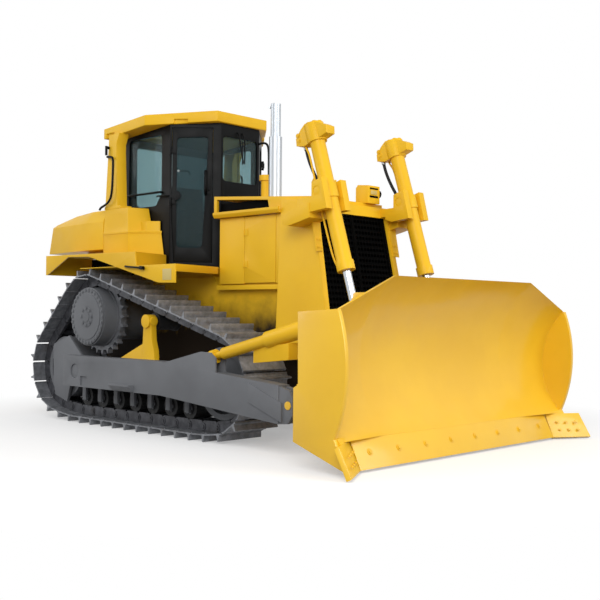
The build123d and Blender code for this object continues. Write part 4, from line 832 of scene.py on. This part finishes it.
# Columns: name, body, sides, radius mm, finish, places
BENT_TUBES = (
    ("post_rail", "machine", BOTH, 13, "black",
     ((-8, 950, 3043), (-8, 986, 3043), (70, 990, 3036), (130, 990, 3020), (136, 990, 2940), (120, 990, 2606),
      (63, 990, 2519), (-37, 988, 2480), (-117, 986, 2462), (-130, 986, 2437))),
    ("screen_rail", "machine", (1,), 13, "black",
     ((1196, 286, 3216), (1250, 300, 3228), (1268, 350, 3222), (1268, 380, 3160), (1268, 380, 2878),
      (1272, 382, 2600), (1400, 400, 2512))),
    ("skirt_handle", "machine", BOTH, 10, "black",
     ((800, 1270, 1748), (800, 1298, 1748), (960, 1298, 1734), (1130, 1298, 1722), (1130, 1270, 1722))),
    ("door_pull", "cab_door_*", BOTH, 17, "black",
     ((400, 4, 2580), (400, 58, 2590), (404, 74, 2700), (400, 58, 2822), (400, 4, 2836))),
    ("door_inner_rail", "cab_door_*", BOTH, 12, "pale",
     ((93, -14, 2838), (100, -44, 2840), (160, -46, 2842), (222, -46, 2834), (216, -46, 2788))),
    ("latch_rod", "machine", BOTH, 9, "black",
     ((600, 712, 2562), (612, 734, 2562), (700, 738, 2560), (796, 734, 2556), (800, 704, 2556))),
    ("lift_hose", "lift_barrel_*", BOTH, 16, "hose_rubber",
     ((-556, -172, -18), (-500, -176, -18), (-400, -172, -18), (-270, -148, -18), (-160, -116, -18),
      (-100, -100, -18), (-62, -84, -18))),
    ("lift_pipe", "lift_barrel_*", BOTH, 10, "yellow",
     ((-556, -140, 26), (-500, -132, 26), (-440, -106, 34), (-300, -102, 36), (0, -106, 40), (400, -102, 36),
      (640, -98, 30), (704, -84, 20))),
    ("wiper_arm_outer", "machine", (1,), 8, "black",
     ((1190, -54, 3300), (1236, -54, 3292), (1236, -34, 3152), (1233, 16, 2960))),
    ("wiper_arm_inner", "machine", (1,), 8, "black",
     ((1190, 20, 3300), (1236, 20, 3288), (1236, 40, 3115), (1233, 34, 2980))),
)

# Columns: name, body, sides, finish, rounded edge mm, low corner, high corner
TRIM_BLOCKS = (
    ("side_pane_bar", "machine", (1,), "black", 2, (366, 702, 2474), (380, 710, 3240)),
    ("skirt_plate", "machine", BOTH, "plate", 1, (1442, 1270, 1590), (1586, 1273, 1704)),
    ("lamp_vent_upper", "machine", BOTH, "matt", 1,
     (LAMP_FACE - 16, 272, 2552), (LAMP_FACE - 1, 400, 2572)),
    ("lamp_vent_lower", "machine", BOTH, "matt", 1,
     (LAMP_FACE - 16, 272, 2466), (LAMP_FACE - 1, 400, 2486)),
    ("lamp_plate", "machine", BOTH, "plate", 1,
     (LAMP_FACE - 16, 290, 2498), (LAMP_FACE - 1, 382, 2540)),
    ("slot_lining", "machine", BOTH, "matt", 1, (1421, 470, 2294), (2202, 478, 2434)),
    ("wiper_blade_outer", "machine", (1,), "hose_rubber", 2, (1222, 4, 2944), (1232, 16, 3200)),
    ("wiper_blade_inner", "machine", (1,), "hose_rubber", 2, (1222, 34, 2950), (1232, 46, 3190)),
)

# Columns: name, body, sides, finish, rows of (place, place, radius mm)
TURNED_PARTS = (
    ("hose_ferrules", "lift_barrel_*", BOTH, "bolt_zinc",
     (((-560, -172, -18), (-512, -176, -18), 21), ((-110, -102, -18), (-66, -86, -18), 21))),
    ("door_latch", "cab_door_*", BOTH, "black",
     (((74, 0, 2560), (74, 34, 2560), 52), ((74, 34, 2560), (74, 46, 2560), 30))),
    ("skirt_knob", "machine", BOTH, "black",
     (((1090, 1298, 1725), (1150, 1298, 1721), 19),)),
    ("post_hook", "machine", BOTH, "black",
     (((-8, 950, 3150), (-8, 986, 3150), 17), ((-8, 986, 3168), (-8, 986, 3062), 15))),
    ("roller_caps", "machine", BOTH, "dark_steel",
     tuple(((roller_x(i), ROLLER_FACE, ROLLER_Z), (roller_x(i), ROLLER_FACE + deep, ROLLER_Z), radius)
           for i in range(ROLLERS) for deep, radius in ((14, 62), (24, 34)))),
    ("lamp_bezels", "machine", BOTH, "black",
     (((2856, 424, 2512), (2856, 454, 2512), 42),)),
    ("fuel_cap", "machine", (1,), "black",
     (((-520, 420, TANK_TOP - 30), (-520, 420, TANK_TOP - 2), 62),
      ((-520, 420, TANK_TOP - 6), (-520, 420, TANK_TOP - 1), 30))),
    ("stack_flap", "machine", (-1,), "stack_metal",
     (((1868, 150, 3478), (1838, 150, 3478), 14), ((1838, 132, 3478), (1838, 168, 3478), 9))),
    ("drive_covers", "machine", BOTH, "grey",
     (((0, 1226, SPROCKET_Z / MM), (0, 1232, SPROCKET_Z / MM), 262),
      ((0, 1236, SPROCKET_Z / MM), (0, 1241, SPROCKET_Z / MM), 60))),
    ("strut_collars", "blade", BOTH, "yellow",
     (((2340, 1364, 839), (2400, 1358, 854), 66),)),
)


# The radiator guard in millimetres: its front face at a height, and its rake
GUARD_TOP = (2905, 2260)
GUARD_RAKE = 0.197
# Its opening and the half width of the lining at the opening's lower and upper edge, how far
# the wires and the lining's front lie behind the face, and the lining's back, thickness and
# gap under the opening's upper edge
GUARD_LOW = 1014
GUARD_HIGH = 2256
LINING_HALVES = ((GUARD_LOW, 554), (GUARD_HIGH, 506))
WIRES_BEHIND = 12
LINING_BEHIND = 26
LINING_BACK = 2622
LINING_THICK = 4
LINING_UNDER = 1
# The wires of its mesh in metres
WIRES = {"width": 0.96, "spacing": 0.048, "radius": 0.004}
# The black sheet round the radiator's core, as painted shade: half its width, its gap under the top and its
# place behind the core's front, with its thickness
SHEET_HALF = 552
SHEET_UNDER = 6
SHEET_BEHIND = 12
SHEET_THICK = 6
# The wall inside each fender, matt black as painted shade, as its low and its high corner
FENDER_SHADE_WALL = ((-720, 690, 1640), (150, 696, 1893))


def guard_x(z):
    """The radiator guard's raked front face at a height."""
    return GUARD_TOP[0] + (GUARD_TOP[1] - z) * GUARD_RAKE


def wire_tree():
    """Upright wires at even steps across a rectangle's width."""
    tree = new_tree("Wires across an opening", (("Width", "NodeSocketFloat", 0.96),
                                                ("Spacing", "NodeSocketFloat", 0.048),
                                                ("Radius", "NodeSocketFloat", 0.004),
                                                ("Material", "NodeSocketMaterial", None)))
    source = add(tree, "NodeGroupInput").outputs
    steps = calc(tree, "DIVIDE", source["Width"], source["Spacing"])
    start = add(tree, "ShaderNodeCombineXYZ", {"Y": calc(tree, "MULTIPLY", source["Width"], -0.5)})
    step = add(tree, "ShaderNodeCombineXYZ", {"Y": source["Spacing"]})
    row = add(tree, "GeometryNodeMeshLine", {"Count": calc(tree, "ADD", steps, 1.0),
                                             "Start Location": start.outputs[0],
                                             "Offset": step.outputs[0]}, mode="OFFSET")
    profile = add(tree, "GeometryNodeCurvePrimitiveCircle", {"Radius": source["Radius"], "Resolution": 8})
    line = add(tree, "GeometryNodeMeshToCurve", {"Mesh": source["Geometry"]})
    wire = add(tree, "GeometryNodeCurveToMesh",
               {"Curve": line.outputs[0], "Profile Curve": profile.outputs[0], "Fill Caps": True})
    copies = add(tree, "GeometryNodeInstanceOnPoints",
                 {"Points": row.outputs[0], "Instance": wire.outputs[0]})
    end_tree(tree, copies.outputs[0], source["Material"])
    return tree


class BULLDOZER_OT_guard_mesh(bpy.types.Operator):
    """Line the radiator guard in black as painted shade, set the wires of its mesh and wall the fenders'
    inner sides in black as painted shade
    """
    bl_idname = "bulldozer.guard_mesh"
    bl_label = "Fill the radiator guard"

    def execute(self, context):
        ends = [at(guard_x(z) - WIRES_BEHIND, 0, z) for z in (GUARD_LOW, GUARD_HIGH)]
        line = holder("wire_line", ends, [(0, 1)])
        piece("guard_wires", grow(line, wire_tree(), **WIRES, material=MATERIALS["matt"]), "machine", "matt")
        # Painted shade: the guard's lining and the sheet round the radiator are matt black inside the guard
        bm = bmesh.new()
        for side in (-1, 1):
            add_hull(bm, [at(x, side * (half - inset), z) for z, half in LINING_HALVES
                          for x in (guard_x(z) - LINING_BEHIND, LINING_BACK) for inset in (0, LINING_THICK)])
        half = LINING_HALVES[1][1]
        top = GUARD_HIGH - LINING_UNDER
        add_box(bm, at(LINING_BACK, -half, top - LINING_THICK),
                at(guard_x(GUARD_HIGH) - LINING_BEHIND, half, top))
        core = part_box("radiator")[1]
        front = (core[0] - DATUM_X) / MM - SHEET_BEHIND
        half = core[1] / MM
        for low_y, high_y, low_z in ((-SHEET_HALF, -half, GUARD_LOW), (half, SHEET_HALF, GUARD_LOW),
                                     (-half, half, core[2] / MM)):
            add_box(bm, at(front, low_y, low_z), at(front + SHEET_THICK, high_y, GUARD_HIGH - SHEET_UNDER))
        piece("guard_lining", mesh_from(bm, "guard_lining"), "machine", "matt")
        # Matt black walls inside the fenders: painted shade under them
        walls = bmesh.new()
        for side in (-1, 1):
            add_box(walls, *(at(x, side * y, z) for x, y, z in FENDER_SHADE_WALL))
        piece("fender_walls", mesh_from(walls, "fender_walls"), "machine", "matt")
        return {"FINISHED"}


class BULLDOZER_OT_trim(bpy.types.Operator):
    """Bend the rails, handles, hoses and pipes, and set the small covers"""
    bl_idname = "bulldozer.trim"
    bl_label = "Add the trim"

    def execute(self, context):
        for name, body, sides, radius, finish, points in BENT_TUBES:
            for side in sides:
                places = [FRAMES[body](side, *point) for point in points]
                tube(sided(name + "_*", side), places, radius * MM, sided(body, side), finish)
        for name, body, sides, finish, edge, low, high in TRIM_BLOCKS:
            for side in sides:
                bm = bmesh.new()
                add_box(bm, FRAMES[body](side, *low), FRAMES[body](side, *high))
                bmesh.ops.recalc_face_normals(bm, faces=bm.faces)
                bevelled(bm, edge * MM)
                piece(sided(name + "_*", side), mesh_from(bm, name), sided(body, side), finish)
        for name, body, sides, finish, rows in TURNED_PARTS:
            for side in sides:
                bm = bmesh.new()
                for start, end, radius in rows:
                    add_bar(bm, FRAMES[body](side, *start), FRAMES[body](side, *end), radius * MM, 20)
                piece(sided(name + "_*", side), mesh_from(bm, name), sided(body, side), finish)
        return {"FINISHED"}


# ------------------------------------------------------------------ stage
# The camera's place from the sprocket axis, in millimetres, and its angles in radians.
CAMERA_PLACE = (9185.0, -7196.0, 1264.0)
CAMERA_YAW = 2.3439
CAMERA_PITCH = 0.01388
CAMERA_ROLL = 0.00844
CAMERA_LENS = 56.77
# The floor's radius, and the distances in metres over which it turns from its near share of
# plain white to white alone
FLOOR_RADIUS = 60.0
WHITE_FROM = 3.2
WHITE_TO = 5.2
WHITE_NEAR = 0.36
SKY_STRENGTH = 0.60
# The lamps' aim, and their names, places from the middle of the ground, sizes and watts
LAMP_AIM = Vector((0, 0, 1.2))
LAMPS = (("key", (6.5, -7.5, 5.5), 6.0, 540.0), ("front", (10.0, 2.0, 4.5), 6.0, 380.0),
         ("rear", (-6.0, -6.5, 5.0), 5.0, 170.0))


class BULLDOZER_OT_stage(bpy.types.Operator):
    """Make the floor, the light and the camera"""
    bl_idname = "bulldozer.stage"
    bl_label = "Make the stage"

    def execute(self, context):
        scene = context.scene
        forward = Vector((math.cos(CAMERA_PITCH) * math.cos(CAMERA_YAW),
                          math.cos(CAMERA_PITCH) * math.sin(CAMERA_YAW), math.sin(CAMERA_PITCH)))
        right = forward.cross(Vector((0, 0, 1))).normalized()
        up = right.cross(forward)
        c = math.cos(CAMERA_ROLL)
        k = math.sin(CAMERA_ROLL)
        right, up = right * c + up * k, up * c - right * k
        data = bpy.data.cameras.new("camera")
        data.lens = CAMERA_LENS
        data.sensor_width = 36.0
        camera = linked("camera", data)
        camera.matrix_world = Matrix.Translation(at(*CAMERA_PLACE)) @ Matrix(
            (right, up, -forward)).transposed().to_4x4()
        scene.camera = camera
        self.floor()
        self.light(scene)
        scene.view_settings.view_transform = "Standard"
        return {"FINISHED"}

    def seen(self, tree):
        """1 where the eye, a reflection or a view through glass meets a surface, else 0."""
        path = add(tree, "ShaderNodeLightPath")
        seen = path.outputs["Is Camera Ray"]
        for ray in ("Is Glossy Ray", "Is Transmission Ray"):
            seen = calc(tree, "MAXIMUM", seen, path.outputs[ray])
        return seen

    def floor(self):
        """A wide pale floor, white to the eye and to reflections."""
        bm = bmesh.new()
        bmesh.ops.create_circle(bm, cap_ends=True, radius=FLOOR_RADIUS, segments=96)
        obj = linked("floor", mesh_from(bm, "floor"))
        made, tree, shader, place = start_material("Floor_matt_white")
        feed(shader, {"Base Color": srgb("#FBFBFB"), "Roughness": 0.9, "Specular IOR Level": 0.0})
        away = add(tree, "ShaderNodeVectorMath", {0: place}, operation="LENGTH").outputs["Value"]
        clear = span(tree, away, WHITE_FROM, WHITE_TO, WHITE_NEAR, 1.0)
        glow = add(tree, "ShaderNodeEmission", {"Color": (1.0, 1.0, 1.0, 1.0), "Strength": 1.0})
        pale = add(tree, "ShaderNodeMixShader", {0: clear, 1: shader.outputs[0], 2: glow.outputs[0]})
        dim = add(tree, "ShaderNodeBsdfDiffuse", {"Color": srgb("#808080")})
        mix = add(tree, "ShaderNodeMixShader", {0: self.seen(tree), 1: dim.outputs[0], 2: pale.outputs[0]})
        out = next(n for n in tree.nodes if n.type == "OUTPUT_MATERIAL")
        feed(out, {0: mix.outputs[0]})
        obj.data.materials.append(made)

    def light(self, scene):
        """A bright even sky with soft lamps, and a white backdrop behind it."""
        world = bpy.data.worlds.new("sky")
        scene.world = world
        world.use_nodes = True
        tree = world.node_tree
        tree.nodes.clear()
        lit = add(tree, "ShaderNodeBackground", {"Color": (1, 1, 1, 1), "Strength": SKY_STRENGTH})
        white = add(tree, "ShaderNodeBackground", {"Color": (1, 1, 1, 1), "Strength": 1.0})
        mix = add(tree, "ShaderNodeMixShader", {0: self.seen(tree), 1: lit.outputs[0], 2: white.outputs[0]})
        add(tree, "ShaderNodeOutputWorld", {"Surface": mix.outputs[0]})
        for name, place, size, watts in LAMPS:
            data = bpy.data.lights.new(name, "AREA")
            data.shape = "DISK"
            data.size = size
            data.energy = watts
            lamp = linked(name, data)
            lamp.location = place
            lamp.rotation_euler = (LAMP_AIM - Vector(place)).to_track_quat("-Z", "Y").to_euler()


# ------------------------------------------------------------------ add-on
class BULLDOZER_PT_panel(bpy.types.Panel):
    """Steps of the bulldozer's finish"""
    bl_label = "Bulldozer"
    bl_idname = "BULLDOZER_PT_panel"
    bl_space_type = "VIEW_3D"
    bl_region_type = "UI"
    bl_category = "Bulldozer"

    def draw(self, context):
        layout = self.layout
        for group in SETTINGS:
            settings = getattr(context.scene, group)
            for key in settings.bl_rna.properties.keys():
                if key not in ("rna_type", "name"):
                    layout.prop(settings, key)
        for step in STEPS:
            layout.operator(step.bl_idname)


SETTINGS = {"bulldozer_track": TrackSettings, "bulldozer_bolts": BoltSettings,
            "bulldozer_paint": PaintSettings}
STEPS = (BULLDOZER_OT_paint, BULLDOZER_OT_tracks, BULLDOZER_OT_fasteners,
         BULLDOZER_OT_guard_mesh, BULLDOZER_OT_trim, BULLDOZER_OT_stage)
CLASSES = (*SETTINGS.values(), *STEPS, BULLDOZER_PT_panel)


def register():
    for cls in CLASSES:
        bpy.utils.register_class(cls)
    for name, group in SETTINGS.items():
        setattr(bpy.types.Scene, name, PointerProperty(type=group))


def unregister():
    for name in SETTINGS:
        delattr(bpy.types.Scene, name)
    for cls in reversed(CLASSES):
        bpy.utils.unregister_class(cls)


def main():
    register()
    bpy.ops.bulldozer.stage()
    bpy.ops.bulldozer.paint()
    bpy.ops.bulldozer.tracks()
    bpy.ops.bulldozer.fasteners()
    bpy.ops.bulldozer.guard_mesh()
    bpy.ops.bulldozer.trim()
    bpy.context.view_layer.update()


if __name__ == "__main__":
    main()
